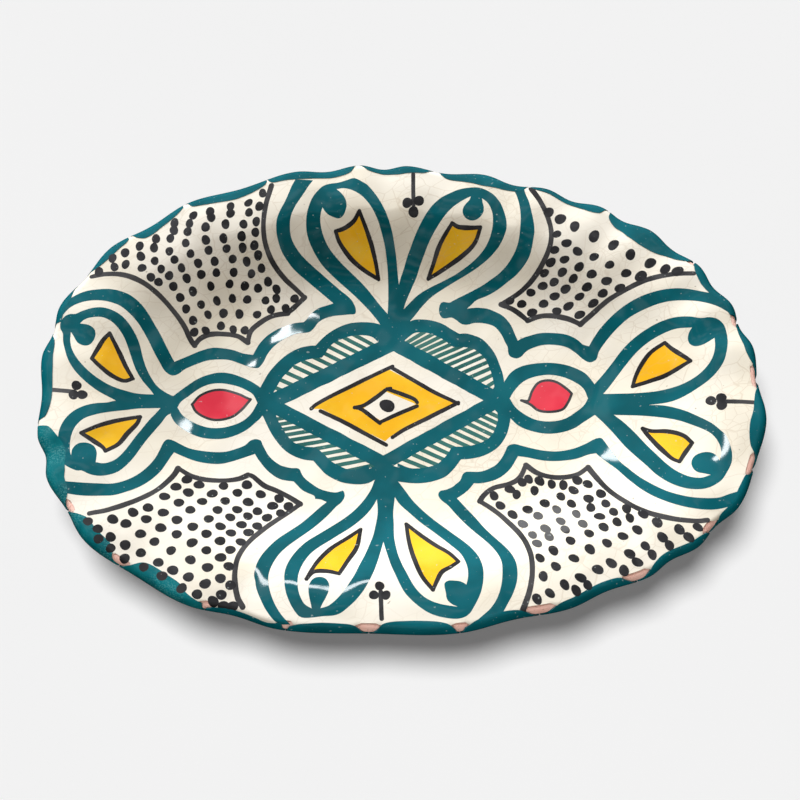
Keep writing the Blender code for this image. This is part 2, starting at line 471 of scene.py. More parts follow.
# Scalloped bands round the lozenge frame: far left, far right, near right and near left, then its two ends
SCALLOPS = [
    [[(-13, 36.1), (-18, 36.3), (-23, 35.6), (-27.5, 33.7), (-31.5, 31), (-34.5, 28), (-37.2, 24.7)],
     [(-39.5, 24.6), (-43.5, 23.6), (-47, 21.8), (-50.5, 19), (-54, 15), (-57, 10.5), (-59.7, 4.5)],
     [(-54, 2.5)],
     [(-51, 8.7), (-48.5, 12), (-45.5, 15.5), (-42, 17.5), (-38, 18.7), (-34.2, 19.2)],
     [(-33, 20.8), (-31.3, 24), (-29, 26.5), (-25, 28.7), (-21, 30), (-17, 30.2), (-13, 29.5), (-10.2, 27.2)],
     [(-9.3, 35.2)]],
    [[(6, 38), (10, 38), (14, 37.3), (18, 35.8), (21.5, 33.5), (25, 31.4)],
     [(28, 31.6), (31, 30.8), (34.5, 29.2), (37.5, 26.3), (40.5, 22), (42.5, 17), (43.9, 12.5), (44.5, 8.5)],
     [(40.3, 6.8)],
     [(39.3, 12), (38, 16), (36.5, 19.5), (34, 22.3), (31, 24.5), (27, 25.3), (22.5, 25.3)],
     [(20.5, 26.8), (18, 28.8), (14.5, 30.6), (11, 31.8), (8, 32), (5, 31.3), (0.5, 27.2)],
     [(3, 37)]],
    [[(5, -38), (10, -38), (15, -37.1), (20, -35), (23.5, -31.5), (26.5, -27)],
     [(30, -26.7), (35, -25.5), (39.5, -23.2), (43, -20), (45.5, -15.5), (46.6, -11.5), (47.2, -7.8)],
     [(41.6, -5.3)],
     [(41.9, -8), (41, -12), (39.5, -15.5), (37, -18), (33, -20), (28, -21.1), (23.5, -21.2)],
     [(22.3, -22), (21, -24.5), (18.8, -27.2), (16.5, -29.3), (13, -30.6), (9, -31.3), (5, -31.2), (0, -29.2)],
     [(0.3, -37.5)]],
    [[(-12, -38.5), (-16, -39.1), (-21, -38.7), (-25, -37.5), (-29.5, -35), (-32.5, -32), (-35.3, -28.8)],
     [(-39.5, -28.3), (-44, -26.7), (-48, -24), (-51.5, -20), (-54.5, -15.5), (-57.8, -9)],
     [(-52.5, -7.8)],
     [(-51.2, -11), (-49.3, -14), (-47, -17.6), (-44, -20.7), (-40, -22.3), (-35, -22.7)],
     [(-33, -24), (-30.5, -26.3), (-28, -28.8), (-25, -30.6), (-21, -32.3), (-17, -32.3), (-12.5, -30.3)],
     [(-9.2, -36.9)]],
    [[(-54, 2.5)], [(-50, -3)], [(-52.5, -7.8)], [(-58, -9)], [(-60.4, -3)], [(-59.9, 4.5)]],
    [[(40.3, 6.8)], [(37, 0)], [(41.6, -5.3)], [(47.1, -7.8)], [(46.8, 1.2)], [(44.5, 8.7)]],
    [[(-10, 27)], [(-10.5, 34.8)], [(-6, 36.2)], [(0, 36.8)], [(4, 36.8)], [(2.5, 31)], [(0.4, 27.5)], [(-4, 24)]],
    [[(-12, -32.2)], [(-9.5, -30.8)], [(-5, -29.5)], [(0, -31)], [(3, -32)], [(2, -37.4)], [(-9, -36.7)], [(-11.5, -38)]],
]
# Rings round the red almonds, pairs of petals and contours from rim to rim: outline, then parts left bare.
# The heads that hang in the petals are cut out of their bare parts
RINGS_AND_PETALS = {
    "ring_left": (
        [[(-93.9, -0.1), (-90.6, 3.2), (-86.8, 6.5), (-82.5, 8.9), (-77.8, 10.3), (-73, 10.2), (-68.3, 8.9), (-64, 7),
          (-60.2, 4.6)],
         [(-56, -3)],
         [(-58.3, -9.1), (-60.7, -12), (-64, -15.3), (-68.3, -18.2), (-73, -20.1), (-77.8, -20.7), (-83.5, -20.1),
          (-89.2, -18), (-93.9, -14.8), (-96.1, -11.5)],
         [(-96, -2.5)]],
        [[[(-92.5, -4.4), (-89.7, -1.5), (-86.3, 1.8), (-82.5, 4.2), (-78.3, 5.3), (-74, 5.3), (-69.2, 4.4), (-65.4, 2.7),
           (-62.6, 0.8), (-60.5, -3)],
          [(-62.6, -7.7), (-65.4, -11), (-69.2, -13.4), (-74, -15.1), (-78.7, -15.6), (-83.5, -14.8), (-88.2, -12.9),
           (-91.6, -10.6), (-93.8, -7.4)]]],
    ),
    "ring_right": (
        [[(47.1, 13.1), (51, 15.9), (56.5, 17.3), (63.1, 17.7), (69.2, 17), (74.2, 15.3), (78.6, 12.6), (81.3, 9.3),
          (82.6, 7.2)],
         [(82.5, -6.7)],
         [(78, -9.8), (73.6, -12.8), (68.1, -14.6), (62, -15), (55.4, -13.5), (50.4, -11.1), (47.1, -7.8)],
         [(44.5, 9)]],
        [[[(48.8, 4.8), (52.1, 8.7), (56.5, 11.1), (63.1, 12.2), (69.2, 11.2), (74.2, 8.7), (78, 5.4), (79.8, 0.9)],
          [(78, -2.3), (74.2, -5.6), (69.8, -8.4), (64.2, -9.5), (58.2, -8.7), (53.2, -6.2), (49.3, -2.9), (46.8, 1.2)]]],
    ),
    "petals_far": (
        [[(-11.2, 37.8), (-14.6, 42), (-19.2, 46.7), (-23.8, 50.9), (-28.5, 54.8), (-32.3, 58), (-35.8, 61.3),
          (-38.8, 65.2), (-41.2, 69.4), (-42.5, 73.2), (-42.9, 77), (-42.7, 81), (-41.7, 85.5), (-40.4, 89), (-38.5, 92),
          (-36.2, 94.6), (-33.5, 95.9), (-29.2, 96.6), (-26, 97.6), (-23, 98.6), (-21.2, 98.1), (-18.5, 96.5),
          (-16.3, 95), (-12.2, 90), (-9.2, 85), (-6.9, 80), (-5.2, 75), (-4.1, 70), (-3.2, 65), (-2.6, 60),
          (-2.2, 56.5), (-1.8, 53.8)],
         [(-1.2, 56.5), (0, 60), (1.5, 65), (3.1, 69), (5, 73.6), (7.3, 78.2), (9.6, 82.1), (12.3, 85.9), (15.8, 89.4),
          (19.6, 91.7), (23.8, 93.6), (28.5, 94.4), (32.3, 94.4), (35.8, 93.2), (39.2, 90.9), (41.9, 87.5), (43.5, 83.6),
          (44.6, 79.4), (44.8, 75.5), (43.8, 72.1), (41.9, 68.6), (38.8, 65.2), (35.4, 62.5), (31.5, 60), (26.9, 57.5),
          (21.9, 54.8), (16.9, 51.7), (12.3, 48.2), (8.5, 44), (5.4, 39.8), (3.1, 36.8)],
         [(2.5, 30.5)], [(-9.5, 29)], [(-9.2, 35)]],
        [[[(-9.2, 43.6), (-12.3, 47.5), (-15.4, 51.3), (-19.2, 55.2), (-23.1, 58.6), (-26.9, 61.8), (-30, 64.8),
           (-32.7, 67.8), (-34.6, 70.9), (-36, 74.4), (-36.7, 77.8), (-36.7, 81), (-36, 84.4)],
          [(-35, 82.8), (-33.5, 81.3), (-31.2, 80.3), (-28.8, 79.8), (-26.9, 80.9), (-25.8, 83.2), (-25.4, 85.9),
           (-26.2, 88.6), (-28.1, 91.3), (-30.2, 93.2)],
          [(-27, 93.6), (-23, 92.5), (-19.2, 90.2), (-16.5, 87.5), (-13.8, 83.8), (-11.5, 79.4), (-9.6, 74), (-8.3, 69.4),
           (-7.5, 64.8), (-6.9, 60), (-6.6, 55), (-6.4, 50), (-6.3, 45), (-6.4, 40.3)]],
         [[(1.5, 46.3), (2.7, 49.4), (4.2, 53.2), (5.8, 57.1), (7.3, 61.7), (8.8, 65.5), (10.8, 70.2), (13.1, 74.4),
           (15.8, 78.6), (18.5, 82.1), (21.5, 85.2), (24.6, 87.5), (27.7, 89.4), (29.1, 90)],
          [(28.5, 88.2), (26.9, 86.3), (25.8, 84.4), (25.6, 82.5), (26.5, 80.5), (28.5, 79.2), (30.8, 79), (33.1, 80.2),
           (34.6, 82.5), (34.8, 84.8), (34.2, 87.5), (34, 89.2)],
          [(36.5, 87.1), (38.1, 84), (38.8, 80.9), (38.8, 77.1), (38.1, 73.2), (36.5, 69.4), (34.2, 66.3), (30.8, 63.2),
           (26.9, 60.5), (22.3, 57.8), (16.9, 55.2), (11.5, 52.5), (6.9, 49.4), (3.1, 45.5), (0.5, 42.6)]]],
    ),
    "petals_near": (
        [[(-10.4, -40.8), (-12.3, -44.6), (-14.6, -48.1), (-17.7, -51.9), (-21.5, -55.4), (-26.2, -59.2),
          (-30.8, -63.1), (-35, -66.9), (-38.1, -70.8), (-40.4, -75), (-41.9, -79.2), (-42.5, -83.1), (-42.2, -87.3),
          (-41.5, -90.8), (-40.4, -93.8), (-38.8, -96.9), (-36.9, -99.6), (-35.4, -101), (-33.5, -101.5), (-30, -101.2),
          (-26.2, -100.6), (-22.3, -100.2), (-19.6, -99.2), (-17.3, -97.3), (-15, -95), (-13.1, -92.7), (-10.8, -89.2),
          (-8.8, -85), (-7.3, -80.8), (-6.2, -76.2), (-5.4, -71.9), (-4.4, -66)],
         [(-3.5, -69.2), (-2.3, -73.1), (-0.8, -77.7), (0.8, -81.5), (2.7, -85.8), (5, -90), (7.7, -93.1),
          (10.8, -95.8), (14.2, -98.1), (17.7, -99.5), (20.8, -100.2), (24.2, -100.6), (26.9, -100.4), (29.2, -99.5),
          (30.8, -98.1), (31.9, -96.2), (33.5, -93.1), (35, -89.2), (35.8, -84.6), (35.8, -80), (35, -76.2),
          (33.5, -72.7), (30.8, -68.8), (27.3, -65), (23.5, -61.5), (19.2, -57.7), (15, -54.2), (10.8, -50.4),
          (6.9, -46.2), (3.8, -41.9), (1.5, -38.8), (0.2, -37.1)],
         [(-0.5, -31)], [(-10, -31.5)], [(-9.2, -36.9)]],
        [[[(-9.6, -49.2), (-11.9, -52.7), (-14.6, -55.8), (-18.1, -59.2), (-22.3, -62.7), (-26.2, -66.2), (-30, -69.6),
           (-33.1, -73.1), (-35, -76.5), (-36.5, -80.8), (-37.1, -84.6), (-36.9, -88.5), (-36.2, -91.5), (-35, -94.2),
           (-33.5, -96.2), (-30.9, -97.7)],
          [(-31.2, -96.2), (-31.9, -93.8), (-32.5, -90.8), (-32.5, -88.1), (-31.5, -85.8), (-30, -84.6), (-28.1, -84.3),
           (-26.2, -85), (-25, -86.5), (-24.5, -88.5), (-24.8, -90.8), (-25.8, -93.5), (-26.9, -95.8), (-27.5, -97.5)],
          [(-24.6, -96.5), (-21.9, -94.2), (-19.2, -90.8), (-16.9, -86.9), (-15, -83.1), (-13.1, -77.7), (-11.5, -73.1),
           (-10, -67.7), (-8.8, -63.1), (-8.1, -58.5), (-7.5, -53.8), (-7.5, -50), (-8, -45.8)]],
         [[(-0.9, -48.5), (-1, -52.3), (-0.6, -56.9), (-0.4, -60.8), (0, -64.6), (0.8, -68.5), (1.9, -72.7),
           (3.8, -77.7), (5.8, -81.9), (7.7, -85.8), (10, -89.2), (12.7, -91.9), (15.8, -93.7), (19.2, -94.8),
           (22.7, -95.4), (26, -95.8)],
          [(23.5, -94.6), (21.7, -92.7), (21.2, -90), (20.6, -87.3), (20.8, -85.8), (22.3, -84.9), (24.6, -84.9),
           (26.9, -85.2), (28.5, -86), (29.2, -86.5)],
          [(29.8, -83.1), (29.6, -79.2), (28.5, -75.4), (26.5, -71.5), (23.1, -67.7), (19.2, -63.8), (14.6, -59.6),
           (10, -55.8), (5.4, -51.5), (1.5, -47.7), (-0.6, -44.6)]]],
    ),
    "petals_left": (
        [[(-98.7, -1.5), (-102.5, 0.8), (-105.3, 4.2), (-107.7, 8.4), (-109.6, 13.2), (-111, 17.9), (-112.9, 22.2),
          (-115.8, 26.5), (-119.1, 29.8), (-122.9, 31.9), (-127.2, 32.9), (-131.5, 32.4), (-135.7, 30.8), (-138.6, 29.3),
          (-141, 29.2), (-143.3, 27.9), (-144.6, 25.5), (-144.5, 22.7), (-143.1, 20.3), (-142.6, 17), (-141.4, 13.2),
          (-139.5, 8.4), (-137.2, 4.6), (-134.3, 1.3), (-130.5, -2), (-126.2, -4.9), (-122.4, -6.8), (-118.1, -8.6)],
         [(-121.5, -10.1), (-126.2, -11.2), (-130.5, -12.9), (-134.3, -15.5), (-137.2, -19.1), (-138.8, -23.4),
          (-139.1, -27.7), (-138.5, -32), (-137, -37), (-134.3, -40), (-130, -41.9), (-127.7, -41.9), (-124.3, -43.3),
          (-120.5, -43.8), (-116.7, -42.9), (-113.4, -41), (-110.6, -37.6), (-108.2, -33.4), (-106.3, -29.1),
          (-104.4, -24.8), (-102, -20.1), (-99.6, -15.8), (-97.7, -12), (-96.1, -10.6)],
         [(-94, -7.3)], [(-95.8, -2.5)]],
        [[[(-105.3, -1.1), (-108.2, 1.8), (-111, 5.6), (-112.9, 9.4), (-114.8, 14.1), (-117.2, 19.8), (-120.1, 24.1),
           (-123.4, 27), (-127.2, 28.4), (-131, 28.1), (-134.3, 27), (-136.3, 25)],
          [(-132.4, 24.4), (-130, 22.7), (-129.3, 20.3), (-129.9, 17.5), (-131.5, 15.3), (-133.8, 14.9), (-136.2, 16),
           (-137.6, 17.9), (-138.8, 19.8), (-139.8, 21.1)],
          [(-139.5, 17), (-138.4, 13.2), (-136.2, 9.4), (-133.4, 6.1), (-129.6, 2.7), (-125.3, -0.1), (-120.5, -2.3),
           (-115.8, -3.4), (-110.1, -3.9), (-103.7, -3.1)]],
         [[(-104.4, -9.6), (-109.1, -10.6), (-114.8, -12.5), (-120.5, -14.4), (-125.3, -16.3), (-129.6, -18.6),
           (-132.4, -22), (-133.7, -25.8), (-134, -29.6), (-133.7, -32.9), (-132.9, -35.3)],
          [(-132.7, -32.4), (-131.5, -30.5), (-129.6, -29.4), (-126.7, -29.3), (-124.3, -30.5), (-122.9, -32.9),
           (-122.6, -35.3), (-122.6, -37.9)],
          [(-119.6, -38.1), (-117.2, -37.2), (-114.8, -35.3), (-112.5, -31.9), (-110.6, -28.1), (-108.7, -23.9),
           (-106.8, -20.1), (-104.4, -15.3), (-102, -11.5), (-100.4, -8.8)]]],
    ),
    "petals_right": (
        [[(86.3, 11.5), (90.2, 16.4), (94.6, 21.9), (99.6, 26.3), (105.1, 29.6), (110.6, 31.8), (116.1, 32.9),
          (121.6, 32.7), (126, 31.8), (129.9, 32.2), (133.2, 31.6), (135.8, 29.1), (136.8, 25.2), (136.9, 20.8),
          (136.2, 16.4), (134.9, 12), (132.1, 7.6), (128.3, 3.7), (122.7, -0.1), (117.2, -2.9), (111.7, -4.3),
          (104, -4.5)],
         [(110.6, -5.6), (117.2, -8.4), (122.7, -11.7), (128.3, -15.5), (131.6, -18.8), (133.6, -21), (134.9, -24.3),
          (135.8, -28.7), (135.4, -33.1), (133.2, -37.6), (130.5, -41.4), (126, -44.2), (121.6, -45), (116.1, -44.2),
          (110.6, -41.4), (105.6, -37), (101.8, -32), (97.9, -27.1), (94, -22.1), (89.6, -15.5), (86.3, -11.1),
          (82.5, -6.7)],
         [(79.8, 0.9)], [(82.6, 7.2)]],
        [[[(88.5, 5.4), (91.8, 9.8), (95.7, 14.8), (100.1, 19.7), (105.1, 23.6), (110.6, 26.3), (116.1, 27.8),
           (122.6, 27.7)],
          [(121.4, 25.8), (120.8, 23), (121.6, 20.6), (123.8, 19.4), (126.6, 19.9), (128.8, 21), (131.7, 22.9)],
          [(131.6, 18.6), (130.5, 14.2), (128.3, 10.4), (124.4, 6.5), (119.4, 3.7), (113.9, 2.1), (107.3, 1.3),
           (100.7, 1.5), (92.9, 2.1), (86.1, 2.6)]],
         [[(95.1, -8), (101.8, -9.1), (108.4, -10.6), (115, -12.8), (120.5, -15.5), (125.5, -18.3), (128.8, -21),
           (131, -24.9), (131.6, -28.7), (130.7, -32.4)],
          [(129.9, -30.4), (127.7, -28.7), (124.4, -28.4), (121.1, -29.8), (119.6, -32.6), (120, -35.4), (121.6, -37.3),
           (124.4, -38.1), (126.8, -38.7)],
          [(122.7, -40), (118.3, -39.2), (113.9, -36.5), (110, -32.6), (106.2, -27.6), (102.3, -22.1), (98.5, -16.6),
           (94, -11.1), (90.2, -7.3)]]],
    ),
}
CONTOURS = {
    "contour_far_left": [
        [(-50, 94), (-51.2, 90.2), (-52.7, 85.9), (-54.6, 81.7), (-55.8, 77.5), (-55.8, 73.2), (-55, 69.4),
         (-53.5, 65.5), (-51.2, 62.1), (-48.1, 58.6), (-44.6, 55.9), (-40.8, 53.2), (-36.9, 50.2), (-33.1, 47.1),
         (-30.2, 44.7)],
        [(-33.1, 43.6), (-36.2, 42.5), (-38.5, 40.9), (-40.4, 39), (-41.5, 37.1), (-42.8, 35.6)],
        [(-47.4, 34.8), (-52.4, 32.7), (-54.6, 31.5), (-58, 29), (-61, 25.5), (-62.5, 22.7), (-63.9, 19.4)],
        [(-68.3, 19.8), (-72.1, 21), (-76.8, 21.7), (-81.6, 21.6), (-86.3, 19.8), (-90.1, 17.5), (-93.9, 15.1),
         (-96.7, 13.3)],
        [(-98.2, 15.6), (-100.1, 18.9), (-103, 24.1), (-105.8, 28.4), (-108.7, 32.7), (-112, 36.5), (-116.3, 39.6),
         (-120.5, 41.2), (-125.3, 42), (-130, 41.7), (-135.3, 40.6), (-139.5, 38.4), (-142.9, 35.5), (-145.7, 32.2),
         (-146.7, 29.3), (-146.2, 26.5)],
        [(-144.3, 28.4), (-141.4, 32.2), (-137.6, 34.6), (-132.9, 36), (-128.1, 36.3), (-123.9, 35.7), (-120.1, 34.4),
         (-116.3, 31.7), (-112.9, 28.4), (-110.1, 24.6), (-107.2, 19.8), (-104.9, 15.6), (-102.5, 11.8), (-100.6, 8.9),
         (-98.2, 7.2), (-96.3, 7.2), (-94.4, 8.4), (-92, 10.8), (-88.2, 13.2), (-83.5, 15.6), (-78.7, 16.5),
         (-74, 16.5), (-69.2, 15.1), (-65.4, 13.9), (-62.4, 13.4), (-61.1, 13.6), (-59.9, 15.1), (-58.9, 17),
         (-58, 19.5), (-56.8, 21.7), (-55.2, 23.9), (-52.4, 26.5), (-49.2, 28.5), (-45.5, 30.1), (-42, 30.6),
         (-39.9, 31.2), (-38.1, 33.2), (-36.9, 35.2), (-35.4, 36.7), (-33.1, 38), (-29.6, 39), (-26.2, 39.4),
         (-23.1, 39.8), (-20.6, 40.2), (-20.4, 42.5), (-21.2, 44.4), (-22.3, 46.3), (-24.2, 48.2), (-27.7, 50.9),
         (-31.5, 54), (-35.4, 57.1), (-39.6, 60.2), (-43.5, 63.2), (-46.5, 66.3), (-48.8, 69.8), (-49.8, 73.2),
         (-50, 77), (-49.4, 80.5), (-48.1, 84), (-46.2, 87.5), (-44.2, 91), (-42.7, 94), (-40.8, 97.3)],
        [(-48.5, 97.5)],
    ],
    "contour_far_right": [
        [(53.3, 90.9), (54.3, 88.1), (55.2, 84.4), (56, 80.6), (56.6, 77.5), (56.9, 73.8), (56.4, 70), (55.7, 66.3),
         (54.6, 63.1), (52.4, 60), (49.3, 56.9), (46.1, 54.7), (41.5, 51.5), (36.9, 49), (32.3, 47.1), (30, 44.9),
         (28.1, 43.1)],
        [(30.8, 43.5), (33.3, 43.6), (37, 43.2), (40.1, 41.9), (43.3, 40.1), (45.8, 37.6), (47.6, 34.8), (48.9, 31.6),
         (50.3, 28.2)],
        [(52, 29.3), (55.1, 30.4), (59.8, 31.6), (65.3, 31.5), (70.9, 30.5), (75.3, 28.2), (78, 25.8), (80.6, 24.7)],
        [(82.5, 28), (85.2, 31.8), (89.6, 36.2), (95.1, 40.1), (101.8, 43.2), (108.4, 45), (115, 45.9), (121.6, 45.8),
         (128.3, 44.5), (133.8, 43.2), (137.5, 40.5)],
        [(140.5, 33.5)],
        [(138.2, 34.6), (133.8, 37.3), (129.3, 39), (123.8, 40.3), (117.2, 40.6), (110.6, 39.8), (104, 37.9),
         (97.4, 35.1), (91.8, 30.7), (87.4, 25.8), (84.7, 21.9), (83.6, 18.6), (80.8, 17.5), (78, 19.2), (75.3, 21.9),
         (71.4, 24.7), (66.4, 26), (60.9, 26.1), (55.8, 24.4), (53.3, 22.6), (52, 21), (50.4, 20.1), (48.9, 20.1),
         (47, 21), (46.2, 22.6), (45.9, 25.4), (44.8, 27.6), (43.6, 30.4), (42, 32.9), (40.1, 34.9), (37.6, 36),
         (34.5, 36.6), (31.4, 36.6), (29.5, 36), (27.3, 35.7), (25.4, 36.3), (23.9, 37.6), (21.5, 39), (18.8, 38.6),
         (17.3, 39), (16.2, 40.9), (16, 43.2), (16.5, 45.2), (17.7, 46.2), (20.4, 45.9), (21.9, 46.7), (25.4, 48.6),
         (30, 50.9), (34.6, 53.2), (38, 55.3), (41.8, 57.8), (44.9, 60.6), (47.4, 63.8), (49.1, 66.9), (50.2, 70.6),
         (50.7, 75), (50.9, 78.8), (50.8, 82.5), (50.2, 86.9), (49.3, 90.6), (48.1, 93.8)],
        [(52.4, 94.2)],
    ],
    "contour_near_left": [
        [(-45.4, -102.7), (-48.8, -98.5), (-51.2, -94.2), (-53.1, -90), (-53.8, -86.9), (-54.5, -83.8), (-53.8, -79.2),
         (-52.3, -75), (-50, -70.8), (-46.9, -66.5), (-42.7, -62.3), (-38.8, -58.5), (-35, -54.2), (-31.5, -50.4),
         (-28.6, -47.6)],
        [(-31.2, -46.5), (-33.5, -46.3)],
        [(-34, -44.9), (-36.6, -43.8), (-39.1, -42.5), (-41.3, -40.3), (-42.9, -38.6)],
        [(-47.3, -38.1), (-49.8, -37.2), (-51.9, -35.9), (-54.4, -33.8), (-56.6, -31.3), (-58.8, -28.4), (-59.9, -26.6)],
        [(-64.5, -28.6), (-69.2, -30.5), (-74, -31.9), (-79.7, -32.1), (-84.4, -31.5), (-89.2, -30), (-93, -28.6)],
        [(-93.9, -30.5), (-95.4, -34.3), (-97.3, -38.6), (-100.6, -43.3), (-104.4, -47.1), (-109.1, -50),
         (-113.9, -51.9), (-119.6, -52.4), (-125.3, -52.6), (-130, -52.2), (-134.3, -51.4), (-137.5, -50)],
        [(-138, -46)],
        [(-134.3, -46.7), (-130.5, -46.9), (-126.2, -47.1), (-120.5, -47.1), (-114.8, -46.7), (-110.1, -44.8),
         (-105.8, -41.4), (-102.5, -37.2), (-100.1, -32.9), (-98.7, -28.6), (-97.7, -24.8), (-96.3, -22.9),
         (-93.9, -23.1), (-91.1, -24.3), (-87.3, -25.8), (-82.5, -26.5), (-76.8, -26.7), (-72.1, -26.2), (-68.3, -24.8),
         (-64.5, -22.9), (-62.6, -20.8), (-61.3, -20), (-59.8, -19.7), (-57.9, -20.3), (-57.3, -21.6), (-56, -24.1),
         (-54.1, -27.2), (-51.9, -29.4), (-49.1, -31.3), (-46.6, -32.1), (-44.1, -32.5), (-41.9, -32.4), (-40.7, -33.1),
         (-39.8, -35), (-38.5, -36.9), (-36.3, -38.8), (-32.3, -41.5), (-28.5, -42.7), (-25.4, -43.1), (-23.8, -42.7),
         (-22.3, -42.1), (-21.5, -43.5), (-21.5, -45.4), (-22.7, -47.7), (-24.6, -49.6), (-27.3, -53.1), (-31.2, -57.7),
         (-35, -61.9), (-38.8, -65.8), (-42.7, -70), (-45.4, -73.8), (-47.3, -78.1), (-48.5, -82.3), (-48.7, -86.2),
         (-47.7, -90.8), (-45.4, -96.2), (-42.3, -100.8), (-38.9, -104.2)],
        [(-42.5, -104.2)],
    ],
    "contour_near_right": [
        [(45.4, -93.8), (47.3, -90), (48.8, -85.4), (49.2, -80.8), (48.5, -76.2), (46.5, -71.9), (43.5, -67.7),
         (40, -63.5), (36.5, -59.2), (32.7, -53.8), (28.5, -48.8), (25, -44.7)],
        [(28.3, -42.2), (30.5, -39.9), (32, -37.8)],
        [(35, -37.8), (38.8, -36.9), (41.9, -35.6), (44.4, -33.8), (46.6, -31.6), (48.1, -29.4), (49.4, -26.9),
         (50.3, -25.3)],
        [(54.3, -26), (60.9, -27.4), (67.5, -27.6), (74.2, -26.8), (79.1, -25.1), (82.5, -24.6)],
        [(84.1, -26.5), (87.4, -29.8), (90.7, -33.1), (95.1, -38.7), (100.1, -44.2), (106.2, -48.6), (112.8, -51.5),
         (120.5, -53.2), (127.2, -53.5), (132.7, -52.4), (137.5, -50.3)],
        [(139.5, -45)],
        [(133.8, -46.9), (129.3, -48.6), (123.8, -48.8), (117.2, -48), (110.6, -45.8), (105.1, -42.5), (99.6, -38.1),
         (95.1, -33.1), (91.8, -29.3), (88.5, -23.8), (86.3, -19.9), (84.7, -17.7), (81.9, -18.1), (78.6, -19.9),
         (73.1, -22.1), (66.4, -23.2), (59.8, -22.7), (53.2, -21), (49.7, -19.9), (47.8, -19.9), (45.9, -20.9),
         (45, -23.1), (43.4, -26.3), (41.3, -29.1), (38.8, -30.8), (36.3, -32), (33.8, -32.6), (30.6, -32.6),
         (28.4, -32.8), (27.2, -34.1), (26.3, -36.6), (24.4, -38.4), (23.1, -39.6), (20.4, -40.9), (18.1, -41.5),
         (17.3, -43.1), (17.8, -44.6), (19.2, -46.2), (21.5, -48.1), (24.6, -51.9), (28.5, -56.5), (32.3, -60.8),
         (36.2, -65), (39.6, -69.2), (41.9, -73.1), (43.1, -76.9), (43.3, -80.8), (43.1, -84.6), (42.3, -88.8),
         (40.8, -92.7), (38.5, -96.2), (35.4, -99.2), (33.5, -101)],
        [(43.5, -97.5)],
    ],
}
# Hatching in the four spandrels: its first, middle and last line and how many lines there are
HATCH_WIDTH = 1.75
HATCHES = (
    (((-19.7, 29.8), (-13, 26)), ((-36.5, 18.7), (-31, 16)), ((-53, 4.3), (-50.5, 3.3)), 11),
    (((2.2, 26.8), (9.3, 31.8)), ((17.2, 18.2), (30, 24.6)), ((37.3, 6.8), (40, 8.7)), 13),
    (((38.3, -5.5), (41.8, -7.2)), ((21.8, -15.6), (31.3, -20.3)), ((2.8, -27.5), (11.5, -31)), 12),
    (((-51.7, -10.2), (-48, -9.4)), ((-41.2, -21.8), (-30, -19.4)), ((-18.5, -32.5), (-12, -30.8)), 11),
)
HATCH_REACH = 2.6

# Middle of the medallion: a yellow lozenge with a bare one in it, both lined in black round a black eye
CENTRE_YELLOW = (
    (-38, -5), (-33, -1.5), (-20, 6.8), (-10, 12.3), (-5, 14), (5, 8.5), (15, 2.5), (23, -1.2), (12, -7.5),
    (3, -12.5), (-3, -16.8), (-5.5, -19.3), (-15, -14.5), (-25, -9), (-33, -5),
)
CENTRE_BARE = ((-15.5, -4.7), (-6, 3.6), (7, -2), (-8, -9.8))
CENTRE_LINES = (
    ((-3.5, 15.5), (-20, 6.4), (-34, -2), (-37.5, -5)),
    ((-33.5, -6), (-25, -10), (-15, -15.5), (-5, -21)),
    ((-4, 15), (5, 9.5), (15, 3.5), (22, 0), (25, -1.5)),
    ((25, -1), (20, -4), (12, -8.5), (3, -13.5), (-2.5, -17.5)),
    ((-19, -4.2), (-15, -3), (-10, 0.8), (-6, 4.3), (-4, 5)),
    ((-5.5, 4.7), (0, 2.8), (6, 0.3), (7.5, -1.3)),
    ((7.5, -3), (0, -6.5), (-8, -10.8)),
    ((-8, -11.2), (-12, -8), (-16, -5), (-19, -4)),
)
CENTRE_LINE_WIDTH = (1.7, 1.9, 1.6)
EYE = (-5.2, -3.0)
EYE_HALVES = (3.5, 2.7)
EYE_SLANT = math.radians(-20)

